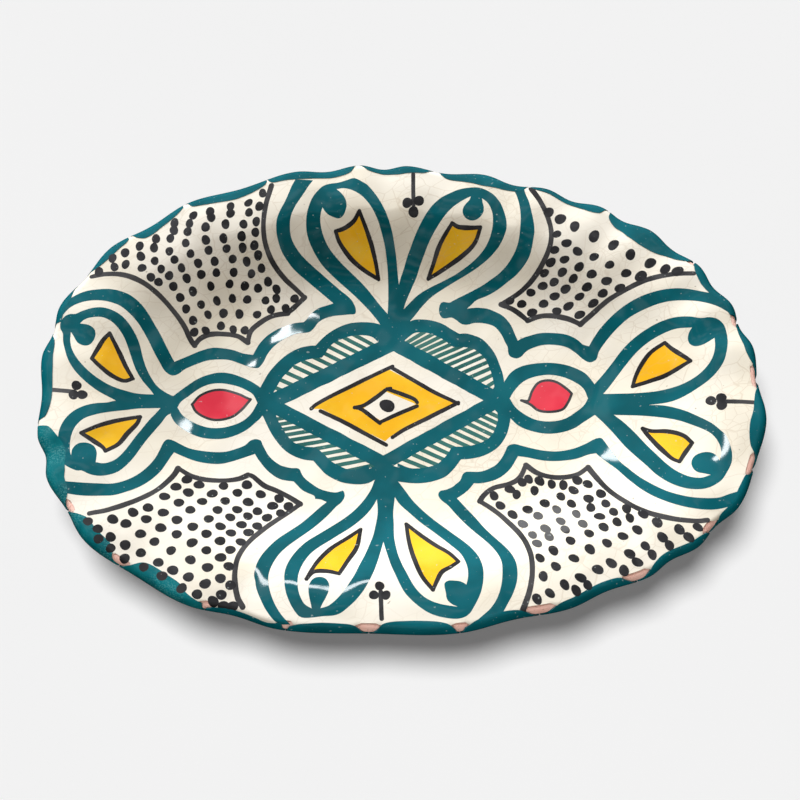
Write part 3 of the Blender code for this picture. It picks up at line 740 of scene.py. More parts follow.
# Yellow drops in the petals, as sides that meet in corners
DROPS = (
    (((-123.5, 21.5), (-126, 18), (-128, 13), (-129.5, 9)), ((-129.5, 9), (-126, 6), (-121, 2.5), (-116, 0.8),
     (-112.5, 2.5)), ((-112.5, 2.5), (-115.5, 7), (-119, 13.5), (-123.5, 21.5))),
    (((-108, -14.3), (-116, -17.5), (-123, -21), (-130, -25.2)), ((-130, -25.2), (-125, -28), (-121, -30.5),
     (-119.5, -32.3)), ((-119.5, -32.3), (-115, -28.5), (-112, -23), (-109, -18), (-108, -14.3))),
    (((98.2, 4.8), (105, 6.2), (112, 8), (121.5, 13)), ((121.5, 13), (119.5, 14.8), (115, 18.5), (111.5, 22.3)),
     ((111.5, 22.3), (106, 19), (102, 14), (99.5, 9), (98.2, 4.8))),
    (((101.5, -14.8), (104, -19), (108, -25), (112, -30), (115, -32)), ((115, -32), (117.5, -28), (120.5, -23.8)),
     ((120.5, -23.8), (117, -20), (111, -17.5), (105, -16.5), (101.5, -14.8))),
    (((-19.7, 83), (-22, 79), (-26, 76), (-30, 74.5)), ((-30, 74.5), (-28, 70), (-23, 64), (-17, 59.5),
     (-10.8, 56)), ((-10.8, 56), (-12.5, 64), (-15, 72), (-19.7, 83))),
    (((11, 56.5), (13, 62), (16, 70), (21, 78)), ((21, 78), (24, 76.5), (29, 76), (33.5, 76)),
     ((33.5, 76), (31, 70), (26, 65.5), (18, 60.5), (11, 56.5))),
    (((-14, -60), (-19, -64.5), (-25, -70), (-30, -77), (-33.7, -85.5)), ((-33.7, -85.5), (-31, -82),
     (-26, -81.5), (-21, -82.5)), ((-21, -82.5), (-18, -76), (-15, -69), (-14, -60))),
    (((4.5, -57), (9, -61), (16, -67), (22, -71.5), (26, -76)), ((26, -76), (23, -78.5), (19.5, -81),
     (17.5, -85.5), (16.2, -89)), ((16.2, -89), (12, -83.5), (8.5, -75), (6, -66), (4.5, -57))),
)
DROP_LINE_WIDTH = (1.6, 2.0, 1.5)
DROP_INSET = 0.9

# Red almonds, as a far and a near side between their tips, with a thin grey line round each
ALMONDS = (
    (((-88, -5.3), (-85, -1), (-80, 1.7), (-75, 2.3), (-69, 0.8), (-65, -1), (-63.5, -1.5)),
     ((-63.5, -1.5), (-64.5, -3), (-67, -6.5), (-71, -10), (-77, -11.7), (-82, -10.8), (-86, -8.5), (-88, -5.3))),
    (((51.7, 0.3), (54.5, 0), (55.3, 1.5), (56.5, 5), (59, 8.5), (63, 9.6), (67, 8.6), (71, 5.5), (73, 3.2)),
     ((73, 3.2), (71.5, -0.5), (69, -4), (64, -5), (59, -4.3), (55.5, -1.5), (51.7, 0.3))),
)
ALMOND_LINE_WIDTH = 1.1

# Grey lines round the dotted fields, each broken at its corners
FIELD_LINE_WIDTH = (2.4, 2.05, 2.3, 1.9)
FIELD_LINES = (
    # Far left
    ((-59, 94.5), (-61, 84), (-61.5, 75), (-60.5, 68), (-57.5, 61), (-52, 54.5), (-47, 50.5), (-43, 47)),
    ((-43, 47), (-50, 39.5)),
    ((-50, 39.5), (-56, 38), (-61, 35), (-65.5, 30.5), (-66.5, 25)),
    ((-66.5, 25), (-71, 27.7), (-77, 28.3), (-83, 27.5), (-87, 25), (-89, 22)),
    ((-89, 22), (-91, 24.5), (-94, 30), (-99, 36), (-105, 41.5), (-112, 46), (-120, 48.7), (-128, 49),
     (-134, 47.8)),
    # Far right
    ((55.5, 94.5), (59, 88.5), (62, 82), (64, 75), (64, 69), (62, 63), (58, 56.5), (52, 50.5), (43, 45)),
    ((43, 45), (49, 42), (54.5, 37.5)),
    ((54.5, 37.5), (60, 39.2), (66, 39), (72, 37.2), (77, 34.5)),
    ((77, 34.5), (82, 38.5), (88, 43), (96, 47), (105, 50.5), (114, 52.3), (124.5, 53)),
    # Near left
    ((-58, -97.5), (-60.5, -93), (-62, -85), (-61.5, -77), (-58.5, -69.5), (-53, -62), (-46, -55), (-39.5, -49)),
    ((-39.5, -49), (-45, -45.5), (-50, -43), (-55, -41), (-60, -37), (-62, -36.5)),
    ((-62, -36.5), (-66, -38.5), (-72, -39.8), (-79, -40), (-85, -39), (-90.5, -36)),
    ((-90.5, -36), (-92, -40), (-96, -46), (-101, -51), (-108, -55.5), (-116, -58.8), (-122.5, -60.3)),
    # Near right
    ((51, -97), (54, -88), (55, -79), (54, -71), (50.5, -62.5), (45, -55), (40, -50), (34.5, -46)),
    ((34.5, -46), (36, -43.5), (40, -40), (47, -38), (51, -35), (53.5, -29.5)),
    ((53.5, -29.5), (58, -33), (64, -35), (70, -35.3), (75, -34), (79, -31)),
    ((79, -31), (82, -36), (86, -42), (91, -47.5), (97, -52.5), (104, -56), (112, -58), (120, -58.5),
     (124.5, -57.9)),
)

# Clubs between the petals' tips at the rim: three dots and a stem
CLUBS = (
    (2.3, ((1.3, 86.8), (6.3, 87.8), (4.1, 82.9)), ((4, 86), (3.5, 101))),
    (1.9, ((-4.8, -87.6), (-6.9, -91.4), (-2.2, -91.4)), ((-4.3, -90), (-3.5, -101))),
    (2.1, ((-134.5, -3.7), (-135.2, -8), (-131.7, -7.7)), ((-135, -6.7), (-144.5, -6))),
    (2.1, ((128.8, -5.6), (132.9, -4.5), (132.9, -8)), ((132, -6.2), (146, -6.7))),
)
CLUB_STEM_WIDTH = 1.8

# Black dots of the four fields, each painted one touch at a time: half length, half width, slant and places
DOTS = (
    # Far left field, on the flange
    (2.2, 1.75, 1.6, (
        (-62.5, 90.5), (-68.7, 85.8), (-63.8, 84.2), (-76.3, 83.3), (-76.3, 79.9), (-68.2, 80.8), (-85.2, 80.6),
        (-84.6, 77.5), (-92.2, 78.3), (-70.2, 75.2), (-64.8, 76.7), (-100.2, 75.1), (-93.5, 74.6), (-77.8, 74.9),
        (-100.2, 71.2), (-86.4, 72.7), (-94.2, 70.3), (-65, 71.8), (-70.6, 69.7), (-107.8, 67), (-101.4, 67.2),
        (-78.7, 68.3), (-86.1, 66.9), (-114.5, 62.9), (-108, 62.4), (-120.4, 59.5), (-113.6, 58), (-125.7, 56.5),
        (-119.7, 53.6), (-124.5, 52.2), (-131, 50.2),
    )),
    # Far left field, on the wall
    (1.95, 1.7, 1.3, (
        (-65.2, 66.6), (-94.6, 64.9), (-70.2, 65.1), (-77.3, 64.2), (-84.7, 62.6), (-63.5, 62.7), (-101.5, 60.8),
        (-92.2, 60.5), (-68.4, 59.8), (-74.5, 60), (-81.9, 58.5), (-61.8, 57.9), (-99.1, 57.3), (-88.8, 56.8),
        (-107.3, 56.1), (-73.8, 55.1), (-66.2, 55.1), (-95.8, 54.2), (-81.2, 53.8), (-104.4, 52.8), (-59.2, 52.7),
        (-112.6, 52.2), (-87.2, 52.2), (-100.8, 50.1), (-93.5, 49.8), (-75.6, 49.9), (-68.9, 49.8), (-63.2, 49.7),
        (-55.2, 49.9), (-108.5, 48.5), (-83.3, 47.9), (-105, 46.5), (-99.2, 45.9), (-55.4, 45.8), (-47.2, 46.4),
        (-90.8, 45), (-60, 44.7), (-67.7, 44.2), (-74.2, 43.8), (-80.7, 42.2), (-96.1, 41.5), (-51.1, 41.8),
        (-57.5, 40.6), (-87.3, 39.9), (-70.8, 37.8), (-93.2, 37.2), (-77.5, 37.5), (-63.2, 38.3), (-84.1, 36.1),
        (-90.1, 32.5), (-78.5, 31.5), (-73.1, 30.7), (-68.2, 30.7), (-84.8, 29.2), (-89.3, 27.7),
    )),
    # Far right field, its outer row
    (2.65, 2.1, 0.85, (
        (63.1, 82.7), (67.9, 79.5), (74.2, 75.6), (82.4, 70.9), (90.6, 66.7), (98.1, 62.1), (106.3, 58.1),
        (112.5, 55.2), (117.6, 53.8), (102.1, 52.1),
    )),
    # Far right field, its inner rows
    (2.15, 1.65, 0.15, (
        (66.6, 72.3), (70.6, 68.1), (65.8, 65.5), (75.5, 64.8), (69.9, 61.4), (82.6, 61.6), (64.1, 60.6), (76, 58),
        (89.1, 57.5), (61.6, 56.7), (69.1, 56.6), (81.6, 54.7), (95.9, 53.8), (73.9, 53.6), (65.8, 52.9),
        (60.9, 51.7), (87.7, 51.2), (55.9, 49.4), (70.7, 49.9), (79.6, 49.7), (93.5, 47.8), (66.1, 47.2),
        (47.2, 46.4), (76.6, 46.1), (86.2, 46.1), (51.7, 44.7), (61.3, 44.6), (71.9, 42.9), (82.1, 42.9),
        (67.1, 41.1), (56.5, 40.9), (76.9, 38.7),
    )),
    # Near left field
    (2.15, 1.9, 0.0, (
        (-86.4, -41), (-81.4, -43), (-71.6, -42.5), (-62.1, -40.8), (-90.1, -45.3), (-85, -47.3), (-75.5, -46.3),
        (-65.5, -45.4), (-56, -45.2), (-48.3, -46.8), (-94, -50.5), (-88.1, -52.4), (-79.1, -50.7), (-70.1, -49.5),
        (-60.7, -49.2), (-50.7, -50.5), (-44.6, -50.2), (-82.8, -55.6), (-72.5, -54.4), (-64.6, -53.4),
        (-56.4, -53.3), (-47.2, -53.5), (-99.4, -56.6), (-93.4, -58.2), (-75.4, -59.1), (-67.1, -57.4),
        (-60.2, -56.4), (-52.2, -56.6), (-105.1, -59.3), (-99.6, -61.8), (-87.7, -61), (-81.1, -63.9),
        (-70.4, -62.1), (-62.1, -60.7), (-55.7, -60.7), (-112.7, -62.5), (-107.4, -64.4), (-93.6, -65.1),
        (-86.9, -67.7), (-75.2, -66.4), (-66, -65), (-59, -64.1), (-101.1, -68.1), (-95, -71.2), (-80.5, -71.1),
        (-69.4, -69.3), (-61.4, -69.3), (-112.6, -70.1), (-106.6, -73.2), (-88.4, -74.9), (-74.5, -74.3),
        (-64.9, -73.6), (-68.4, -77.1), (-80.1, -78.7), (-100, -76.4), (-112.4, -74.7), (-106, -78.6),
        (-92.6, -80.2), (-73.1, -81.7), (-64.6, -81.1), (-86.6, -83.3), (-67.5, -86), (-80.2, -86), (-98.3, -82.1),
        (-73.3, -88.7), (-63.2, -88.8), (-90.6, -85.6), (-66.7, -93), (-76.1, -93), (-82.5, -90.5), (-69.7, -95.4),
        (-61.9, -97.2), (-65.4, -97.4), (-122.7, -63.8), (-118.2, -66.8), (-117.6, -71),
    )),
    # Near right field
    (2.3, 1.75, -0.95, (
        (51.6, -37.5), (54.4, -36), (59.1, -36.9), (63.9, -38.2), (68.7, -38.8), (74.4, -37.3), (78.4, -39.3),
        (46.8, -40.5), (56.9, -41.1), (72.7, -41.7), (40.4, -43.4), (49.6, -43.2), (67.5, -44.3), (83.5, -44.4),
        (78.4, -46.2), (42.9, -48), (60.7, -47.5), (71.6, -48.3), (85.1, -49.3), (53.8, -50.2), (65.6, -50.9),
        (79.4, -50.9), (47.9, -52.7), (57.9, -53.7), (73.4, -53.6), (87.9, -53.8), (92.6, -52.8), (82.3, -55.8),
        (99.6, -55.6), (51.7, -57.5), (67.1, -56.8), (94, -57), (75.6, -58.7), (88.8, -58.7), (104.5, -59.7),
        (60.9, -60.3), (83.4, -61), (68.4, -61.3), (96.6, -62.4), (55.4, -63.3), (112.9, -62.3), (120.5, -61.2),
        (62, -64.3), (77.5, -63.8), (90.7, -65.2), (106.4, -65.4), (116.3, -65.4), (70.3, -67), (57.1, -67.8),
        (84.5, -68.2), (109.1, -68.9), (99.6, -69.2), (63.4, -71.2), (77.7, -70.9), (102.1, -73), (93, -72.9),
        (58.2, -74.8), (71.4, -74.7), (96.1, -76.3), (86, -76.8), (64.3, -78.4), (80.7, -79.3), (90.8, -79.4),
        (59.3, -82.6), (73.9, -82.9), (76.5, -85.8), (67.5, -86), (71.9, -88.2), (61.8, -89.4), (56.7, -91.9),
    )),
)
DOT_DRIFT = 0.12
DOT_TILT = 0.3

# Lip dabs: the inner edge of each, as degrees round the dish and millimetres out from the crown of the lip
DABS = (
    ((6, 2.5), (7.5, 0.5), (9.5, -0.8), (11, -1), (13, -0.6), (15.5, 0.8), (17, 2)),
    ((19.5, 2), (20.3, -0.5), (27.5, -1), (29.5, -1.4), (32, -1), (33.7, 1)),
    ((35, 0.5), (36.5, -1.2), (38.5, -2.3), (41, -4.8), (43.5, -6.4), (45, -6.5), (47, -5.3), (48.5, -3.5),
     (50.5, -2.3), (52.3, -0.5), (52.8, 2)),
    ((53.8, 2), (54.3, -1), (55.7, -2), (57.5, -1.2), (59.5, -0.3), (63, 0), (66, 0.3), (67.5, 1.5)),
    ((68.3, 1.5), (69, -0.8), (70.5, -1.2), (73, -2.2), (75.5, -3.6), (77.5, -3), (79.5, -2), (82, -0.8), (83.2, 1)),
    ((85, 2), (86, 0), (87.5, -1), (90, -2), (92, -1), (94, -0.4), (95.7, 0), (96.6, 2)),
    ((98, 1), (99, -1.2), (101.5, -1.5), (104, -1.4), (107, -2.2), (110, -1.2), (112, -0.5), (112.7, 1)),
    ((113, 1), (113.8, -0.3), (115.5, -1.3), (118, -2.2), (120, -2.6), (123, -2.2), (125, -1.7), (127, -0.5),
     (127.2, 1)),
    ((128.5, 1), (130, -0.2), (132, -0.8), (134.5, -1.2), (136.5, -2), (138.3, -2), (139.3, 0)),
    ((140.5, 1), (141.5, -0.2), (143.5, -0.9), (145.5, -1.2), (147, -0.8), (149, 0.3), (150.3, 1.5)),
    ((156, 2.5), (157.5, 1), (160, -0.5), (164.7, 0)),
    ((168.3, 3), (169.3, 0.8), (171, -0.9), (173, -1.9), (176, -2.5), (179, -2.2), (182, -1.8), (185, -1.6),
     (187.5, -1.2), (189.5, -0.3), (190, 1)),
    ((192, 0.3), (192.4, -1.8), (193.8, -3.8), (196, -5.2), (200, -5.5), (203.5, -5.2), (205.5, -3.6), (207.5, -2.5),
     (209.3, -0.5), (210.5, 2)),
    ((212.8, 2.5), (214.3, -0.5), (216, -2.8), (218, -3.2), (221, -2.9), (223, -2.2), (224.3, 0), (224.8, 2.3)),
    ((227.7, 2.5), (228.5, 0.5), (229.5, -2.2), (231, -3.2), (234, -3.3), (237, -2.8), (239, -0.5), (242, 1.5)),
    ((242.8, 3.5), (244.5, 2), (248, 1.8), (251, 2.2), (252, 2.5), (254.5, 1.5)),
    ((255.7, 2.5), (257, 1), (259, 0.3), (260.5, 0), (263, 0.2), (265, 0.8), (266, 2.5)),
    ((268.8, 2.5), (269.5, 0.3), (271, -0.8), (273, -1.3), (275, -1.5), (277.5, -1.2), (279.3, 0), (280.2, 2)),
    ((281.8, 2.5), (283.5, 0.5), (286, -0.3), (290, 0.5), (291.5, 2)),
    ((295.5, 2.5), (297, 0.8), (299, 0.3), (302, 0), (305, 0), (307.5, 0.3), (308.3, 2)),
    ((312, 2.5), (313.3, 1), (315, 0.3), (318, 0.2), (321, 0.3), (323.5, 1), (325, 2.5)),
    ((327, 5), (328.5, 2.5), (330, 0.8), (335, -0.3), (337.5, -0.2), (339.5, 0.5), (340, 2.5)),
    ((344.5, 3), (345.3, 1), (346.5, -1), (348.5, -2.6), (350.5, -3.5), (352.5, -3.6), (355, -2.5), (357.5, -1.2),
     (360, 0.8), (361.3, 3), (361.5, 5)),
)
# Dabs laid on thin and watery
WASHED_DABS = (13, 14, 15)
DAB_WRAP = 6.5
DAB_STEP = 0.8
DAB_POINTS = 10
DAB_FLARE = 0.48

# Finishes

class Nodes:
    """Shader nodes in one tree."""

    def __init__(self, tree):
        self.tree = tree

    def node(self, kind, inputs, **settings):
        """A node with its settings, and with each input linked to a socket or set to a value."""
        made = self.tree.nodes.new("ShaderNode" + kind)
        for label, value in settings.items():
            setattr(made, label, value)
        for label, value in inputs.items():
            if isinstance(value, bpy.types.NodeSocket):
                self.tree.links.new(value, made.inputs[label])
            else:
                made.inputs[label].default_value = value
        return made

    def noise(self, place, scale, detail=2.0):
        return self.node("TexNoise", {"Vector": place, "Scale": scale, "Detail": detail}).outputs["Fac"]

    def span(self, value, low, high, most=1.0):
        """Value drawn out smoothly, from 0 at low to most at high."""
        limits = {"Value": value, "From Min": low, "From Max": high, "To Min": 0.0, "To Max": most}
        return self.node("MapRange", limits, interpolation_type="SMOOTHSTEP").outputs["Result"]

    def math(self, operation, first, second):
        return self.node("Math", {0: first, 1: second}, operation=operation).outputs["Value"]

    def mix(self, share, first, second):
        """A colour between two colours."""
        inputs = {0: share, 6: first, 7: second}
        return self.node("Mix", inputs, data_type="RGBA").outputs[2]


class Finish(Nodes):
    """A procedural finish: a principled shader and the nodes that feed it."""

    def __init__(self, name, roughness, index=1.5):
        self.material = bpy.data.materials.new(name)
        self.material.use_nodes = True
        super().__init__(self.material.node_tree)
        self.shader = self.tree.nodes["Principled BSDF"]
        self.shader.inputs["Roughness"].default_value = roughness
        self.shader.inputs["IOR"].default_value = index

    def place(self, scale=(1.0, 1.0, 1.0), turn=0.0):
        """Place on the dish, drawn out along axes at a turn in plan."""
        found = self.node("TexCoord", {}).outputs["Object"]
        inputs = {"Vector": found, "Rotation": (0.0, 0.0, math.radians(turn)), "Scale": scale}
        return self.node("Mapping", inputs, vector_type="TEXTURE").outputs["Vector"]

    def colour(self, socket):
        self.tree.links.new(socket, self.shader.inputs["Base Color"])

    def bump(self, value, depth):
        """Relief of a depth in millimetres."""
        inputs = {"Height": value, "Strength": 1.0, "Distance": depth * 0.001}
        relief = self.node("Bump", inputs).outputs["Normal"]
        self.tree.links.new(relief, self.shader.inputs["Normal"])

    def uneven(self):
        """The soft unevenness of the fired glaze, the same in the paint that lies in it."""
        self.bump(self.noise(self.place(), 90.0, 1.0), GLAZE_UNEVEN)

    def net(self, place, scale, width):
        """Thin lines of a net with cells of one size, 1 on the lines and 0 off them."""
        edge = self.node("TexVoronoi", {"Vector": place, "Scale": scale}, feature="DISTANCE_TO_EDGE")
        return self.span(edge.outputs["Distance"], width, 0.0)

    def crackle(self, colour, most):
        """Colour with a coarse net of fine tan cracks, and broken finer ones between them."""
        place = self.place((1.5, 1.0, 1.0), CRACKLE_TURN)
        wander = self.node("TexNoise", {"Vector": place, "Scale": 70.0, "Detail": 3.0}).outputs["Color"]
        inputs = {"Fac": 0.005, "Color1": place, "Color2": wander}
        bent = self.node("MixRGB", inputs, blend_type="ADD").outputs["Color"]
        broken = self.span(self.noise(place, 60.0), 0.44, 0.60)
        fine = self.math("MULTIPLY", self.net(bent, 270.0, 0.045), broken)
        lines = self.math("MAXIMUM", self.net(bent, 135.0, 0.032), fine)
        faded = self.math("MULTIPLY", lines, self.span(self.noise(place, 16.0), 0.25, 0.7, most))
        return self.mix(faded, colour, CRACKLE_COLOUR)


def rgb(red, green, blue):
    return (red, green, blue, 1.0)


def glaze_finish():
    """Cream tin glaze: warm clouds, a net of fine crackle and a few dark specks."""
    glaze = Finish("cream_glaze", GLAZE_ROUGHNESS)
    place = glaze.place()
    clouds = glaze.span(glaze.noise(place, 22.0, 4.0), 0.35, 0.68)
    colour = glaze.mix(clouds, rgb(0.91, 0.865, 0.765), rgb(0.88, 0.815, 0.675))
    colour = glaze.crackle(colour, 0.30)
    specks = glaze.span(glaze.noise(place, 420.0, 1.0), 0.77, 0.82, 0.5)
    glaze.colour(glaze.mix(specks, colour, rgb(0.2, 0.15, 0.1)))
    glaze.uneven()
    return glaze.material


def clay_finish():
    """Pink fired clay, matt and a little sandy."""
    clay = Finish("fired_clay", 0.75)
    place = clay.place()
    clouds = clay.span(clay.noise(place, 90.0, 4.0), 0.35, 0.65)
    colour = clay.mix(clouds, rgb(0.95, 0.55, 0.46), rgb(0.98, 0.66, 0.57))
    grains = clay.span(clay.noise(place, 1500.0, 1.0), 0.62, 0.72, 0.4)
    clay.colour(clay.mix(grains, colour, rgb(0.40, 0.18, 0.12)))
    clay.bump(clay.noise(place, 1200.0, 2.0), 0.05)
    return clay.material


def enamel_finish(name, deep, body, thin, crackle=0.0):
    """Enamel brushed into the glaze: soft pools of a deeper colour and a few thin places and pinholes."""
    enamel = Finish(name, GLAZE_ROUGHNESS)
    place = enamel.place()
    pools = enamel.span(enamel.noise(place, 55.0, 3.0), 0.36, 0.62)
    colour = enamel.mix(pools, deep, body)
    faint = enamel.span(enamel.noise(place, 38.0, 2.0), 0.60, 0.74, 0.5)
    colour = enamel.mix(faint, colour, thin)
    pinholes = enamel.span(enamel.noise(place, 950.0, 0.0), 0.80, 0.84, 0.34)
    colour = enamel.mix(pinholes, colour, PINHOLE_COLOUR)
    enamel.colour(enamel.crackle(colour, crackle))
    enamel.uneven()
    return enamel.material


def wash_finish(name, deep, body, froth):
    """Watery enamel, mottled and frothed with fine pale pinholes."""
    wash = Finish(name, GLAZE_ROUGHNESS)
    place = wash.place()
    colour = wash.mix(wash.span(wash.noise(place, 110.0, 3.0), 0.36, 0.62), deep, body)
    bubbles = wash.span(wash.noise(place, 1700.0, 2.0), 0.46, 0.62, 0.38)
    patches = wash.span(wash.noise(place, 80.0), 0.34, 0.54)
    wash.colour(wash.mix(wash.math("MULTIPLY", bubbles, patches), colour, froth))
    wash.uneven()
    return wash.material


# Pieces

def glaze_end(turn):
    """How far the face glaze runs over the lip: all over it on the far side, and elsewhere to under the dabs."""
    degrees = np.degrees(turn)
    from_middle = np.abs((degrees - GLAZED_LIP_MIDDLE + 180) % 360 - 180)
    glazed = smooth_share((GLAZED_LIP_HALF + GLAZED_LIP_FADE - from_middle) / GLAZED_LIP_FADE)
    starts = np.array([edge[0][0] for edge in DABS])
    gaps = (starts - np.roll([edge[-1][0] for edge in DABS], 1)) % 360
    from_gap = np.abs((degrees[:, None] - starts + gaps / 2 + 180) % 360 - 180) - gaps / 2
    bare = smooth_share(1 - from_gap.min(1) / BARE_LIP_FADE)
    end = COVERED_LIP_END + (BARE_LIP_END - COVERED_LIP_END) * bare
    return end + (GLAZED_LIP_END - end) * glazed


def face_radii(first):
    """Section radii of the face from first out to the lip, closer together where it bends."""
    well = np.linspace(0.0, WELL_LENGTH / 2, WELL_RINGS)[1:]
    wall = np.linspace(WELL_LENGTH / 2, shoulder_edge, WALL_RINGS)[1:]
    flange = np.linspace(shoulder_edge, face_edge - LIP_START, FLANGE_RINGS)[1:]
    radii = np.concatenate([well, wall, flange])
    return radii[radii > first]


def build_glaze(finish):
    """The face glaze, from the middle of the well out over the lip."""
    turn = math.tau * np.arange(STEPS) / STEPS
    radii = face_radii(0.0)
    face = np.repeat((radii - face_edge)[:, None], STEPS, 1)
    shares = np.linspace(0, 1, LIP_RINGS + 1)[1:, None]
    distance = np.concatenate([face, -LIP_START + (glaze_end(turn) + LIP_START) * shares])
    turns = np.broadcast_to(turn, distance.shape)
    top = over_lip(distance, turns)
    under = over_lip(distance, turns, -GLAZE_BODY)[::-UNDERSIDE_STRIDE]
    middle = on_skin(np.array([(-middle_x, -middle_y)] * 2)) - [(0, 0, 0), (0, 0, GLAZE_BODY)]
    points, faces = solid(np.concatenate([top, under]), middle)
    make_piece("glaze_on_face", points, faces, finish, "face_glaze")


def build_clay(finish):
    """The clay body, which shows at the lip, and the bare foot ring under it."""
    radii = face_radii(0.0)[::UNDERSIDE_STRIDE]
    arc = np.radians(np.linspace(90, -90, LIP_RINGS))
    section = np.concatenate([layer(radii, 0.0), lip(arc, 0.0), layer(radii[::-1], -WALL)])
    points, faces = turned_solid(section, (floor_height, floor_height - WALL))
    make_piece("clay_dish", points, faces, finish, "clay_body")
    outer, inner = layer(np.array([foot_edge, foot_edge - FOOT_WIDTH]), -WALL - LAYER_GAP)
    quarter = np.radians(np.linspace(0, 90, 6))
    heel = (outer[0] - FOOT_DRAFT - FOOT_ROUND, inner[0] + FOOT_DRAFT + FOOT_ROUND)
    down = FOOT_ROUND - FOOT_ROUND * np.sin(quarter)
    outward = np.stack([heel[0] + FOOT_ROUND * np.cos(quarter), down], -1)
    inward = np.stack([heel[1] - FOOT_ROUND * np.cos(quarter), down], -1)[::-1]
    points, faces = turned_solid(np.concatenate([[inner, outer], outward, inward]))
    make_piece("clay_foot", points, faces, finish, "foot_ring")


def build_back_glaze(finish):
    """The glaze under the dish, from the foot ring out and up round the lip."""
    radii = face_radii(foot_edge)
    arc = np.radians(np.linspace(-90, BACK_LIP_ANGLE, LIP_RINGS))
    upper = np.concatenate([layer(radii, LIP_COAT - GLAZE_BODY - WALL - LIP_COAT), lip(arc, LIP_COAT - GLAZE_BODY)])
    lower = np.concatenate([lip(arc[::-1], LIP_COAT), layer(radii[::-1], -WALL - LIP_COAT)])
    points, faces = turned_solid(np.concatenate([upper, lower]))
    make_piece("glaze_on_back", points, faces, finish, "back_glaze")


def build_dab(number, finish):
    """One teal dab brushed round the lip, from its given inner edge out and down, where it spreads."""
    edge = np.array(DABS[number - 1], float)
    gaps = (edge[0, 0] - DABS[number - 2][-1][0]) % 360, (DABS[number % len(DABS)][0][0] - edge[-1, 0]) % 360
    scale = (math.radians(1) * rim_edge, 1.0)
    line = smooth_line(edge * scale, DAB_STEP) / scale
    turn = np.maximum.accumulate(line[:, :1])
    inner = np.minimum(line[:, 1:], DAB_WRAP - 0.5)
    share = 2 * (turn - turn[0]) / (turn[-1] - turn[0]) - 1
    flare = DAB_FLARE * np.where(share < 0, -gaps[0], gaps[1]) * share**4
    outwards = np.linspace(1, 0, DAB_POINTS)
    distance = inner + (DAB_WRAP - inner) * outwards
    turns = np.radians(turn + flare * outwards)
    top = over_lip(distance, turns, DAB_LIFT)
    under = over_lip(distance, turns, -LIP_COAT)[:, ::-1]
    loops = np.concatenate([top, under], 1)
    points, faces = solid(loops, loops[[0, -1]].mean(1))
    make_piece(f"lip_stroke_{number:02d}", points, faces, finish, f"lip_dab_{number:02d}")


def lay_motif(film, name, finish, lift):
    """Lay a teal motif, with the part of it that catches a highlight as a piece of its own."""
    if name in SHINING:
        x, y, right, far = SHINING[name]
        film.area = straight_sided(((x, y), (right, y), (right, far), (x, far)))
        film.piece(name + "_shine", finish, "teal_enamel", lift, within=True)
    film.piece(name, finish, "teal_enamel", lift)


def paint_teal(finish):
    """The teal brush work, one piece for each motif, laid a hair apart where they run into each other."""
    film = Film()
    film.outlines = [stroke(*line) for line in FRAME] + [closed(sides) for sides in SCALLOPS]
    film.piece("medallion", finish, "teal_enamel", TEAL_LIFT)
    for number, (name, (sides, bare)) in enumerate(RINGS_AND_PETALS.items(), start=1):
        film = Film()
        film.outlines = [closed(sides)]
        film.bare = [closed(hole) for hole in bare]
        lay_motif(film, name, finish, TEAL_LIFT - number * LIFT_STEP)
    for name, sides in CONTOURS.items():
        film = Film()
        film.outlines = [closed(sides)]
        lay_motif(film, name, finish, TEAL_LIFT)


def paint_hatching(finish):
    """Hatch lines that run on under the bands round them."""
    film = Film()
    for *keys, count in HATCHES:
        first, mid, last = np.array(keys, float)
        for t in np.linspace(0, 1, count):
            start, end = first * (1 - t) * (1 - 2 * t) + mid * 4 * t * (1 - t) + last * t * (2 * t - 1)
            reach = (end - start) * HATCH_REACH / np.linalg.norm(end - start)
            film.outlines.append(stroke(HATCH_WIDTH, (start - reach, end + reach)))
    film.piece("hatching", finish, "teal_enamel", HATCH_LIFT)


def drawn_in(outline, inset):
    """An outline drawn in towards its middle by about an inset."""
    middle = outline.mean(0)
    reach = np.linalg.norm(outline - middle, axis=1, keepdims=True)
    return middle + (outline - middle) * (1 - inset / reach)


def paint_yellow(finish):
    film = Film()
    film.outlines = [straight_sided(CENTRE_YELLOW)] + [drawn_in(joined(sides), DROP_INSET) for sides in DROPS]
    film.bare = [straight_sided(CENTRE_BARE)]
    film.piece("yellow_painting", finish, "yellow_enamel", FILL_LIFT)


def paint_red(finish):
    film = Film()
    film.outlines = [joined(sides) for sides in ALMONDS]
    film.piece("red_painting", finish, "red_enamel", FILL_LIFT)


def paint_black(finish):
    film = Film()
    film.outlines = [stroke(CENTRE_LINE_WIDTH, points) for points in CENTRE_LINES]
    film.outlines += [stroke(DROP_LINE_WIDTH, side) for sides in DROPS for side in sides]
    film.outlines.append(spot(*EYE, *EYE_HALVES, EYE_SLANT))
    film.outlines += [spot(*dot, size, size) for size, dots, _ in CLUBS for dot in dots]
    film.piece("black_lines", finish, "black_enamel", LINE_LIFT)


def paint_dots(finish):
    film = Film()
    for long, short, slant, places in DOTS:
        for place in places:
            x, y = chance.normal(place, DOT_DRIFT)
            size = chance.uniform(0.94, 1.07)
            film.outlines.append(spot(x, y, long * size, short * size, slant + chance.normal(0, DOT_TILT)))
    film.area = spot(*VEILED_DOTS)
    film.piece("black_dots", finish, "black_enamel", DOT_LIFT)
    film.piece("veiled_dots", finish, "black_enamel", DOT_LIFT, within=True)


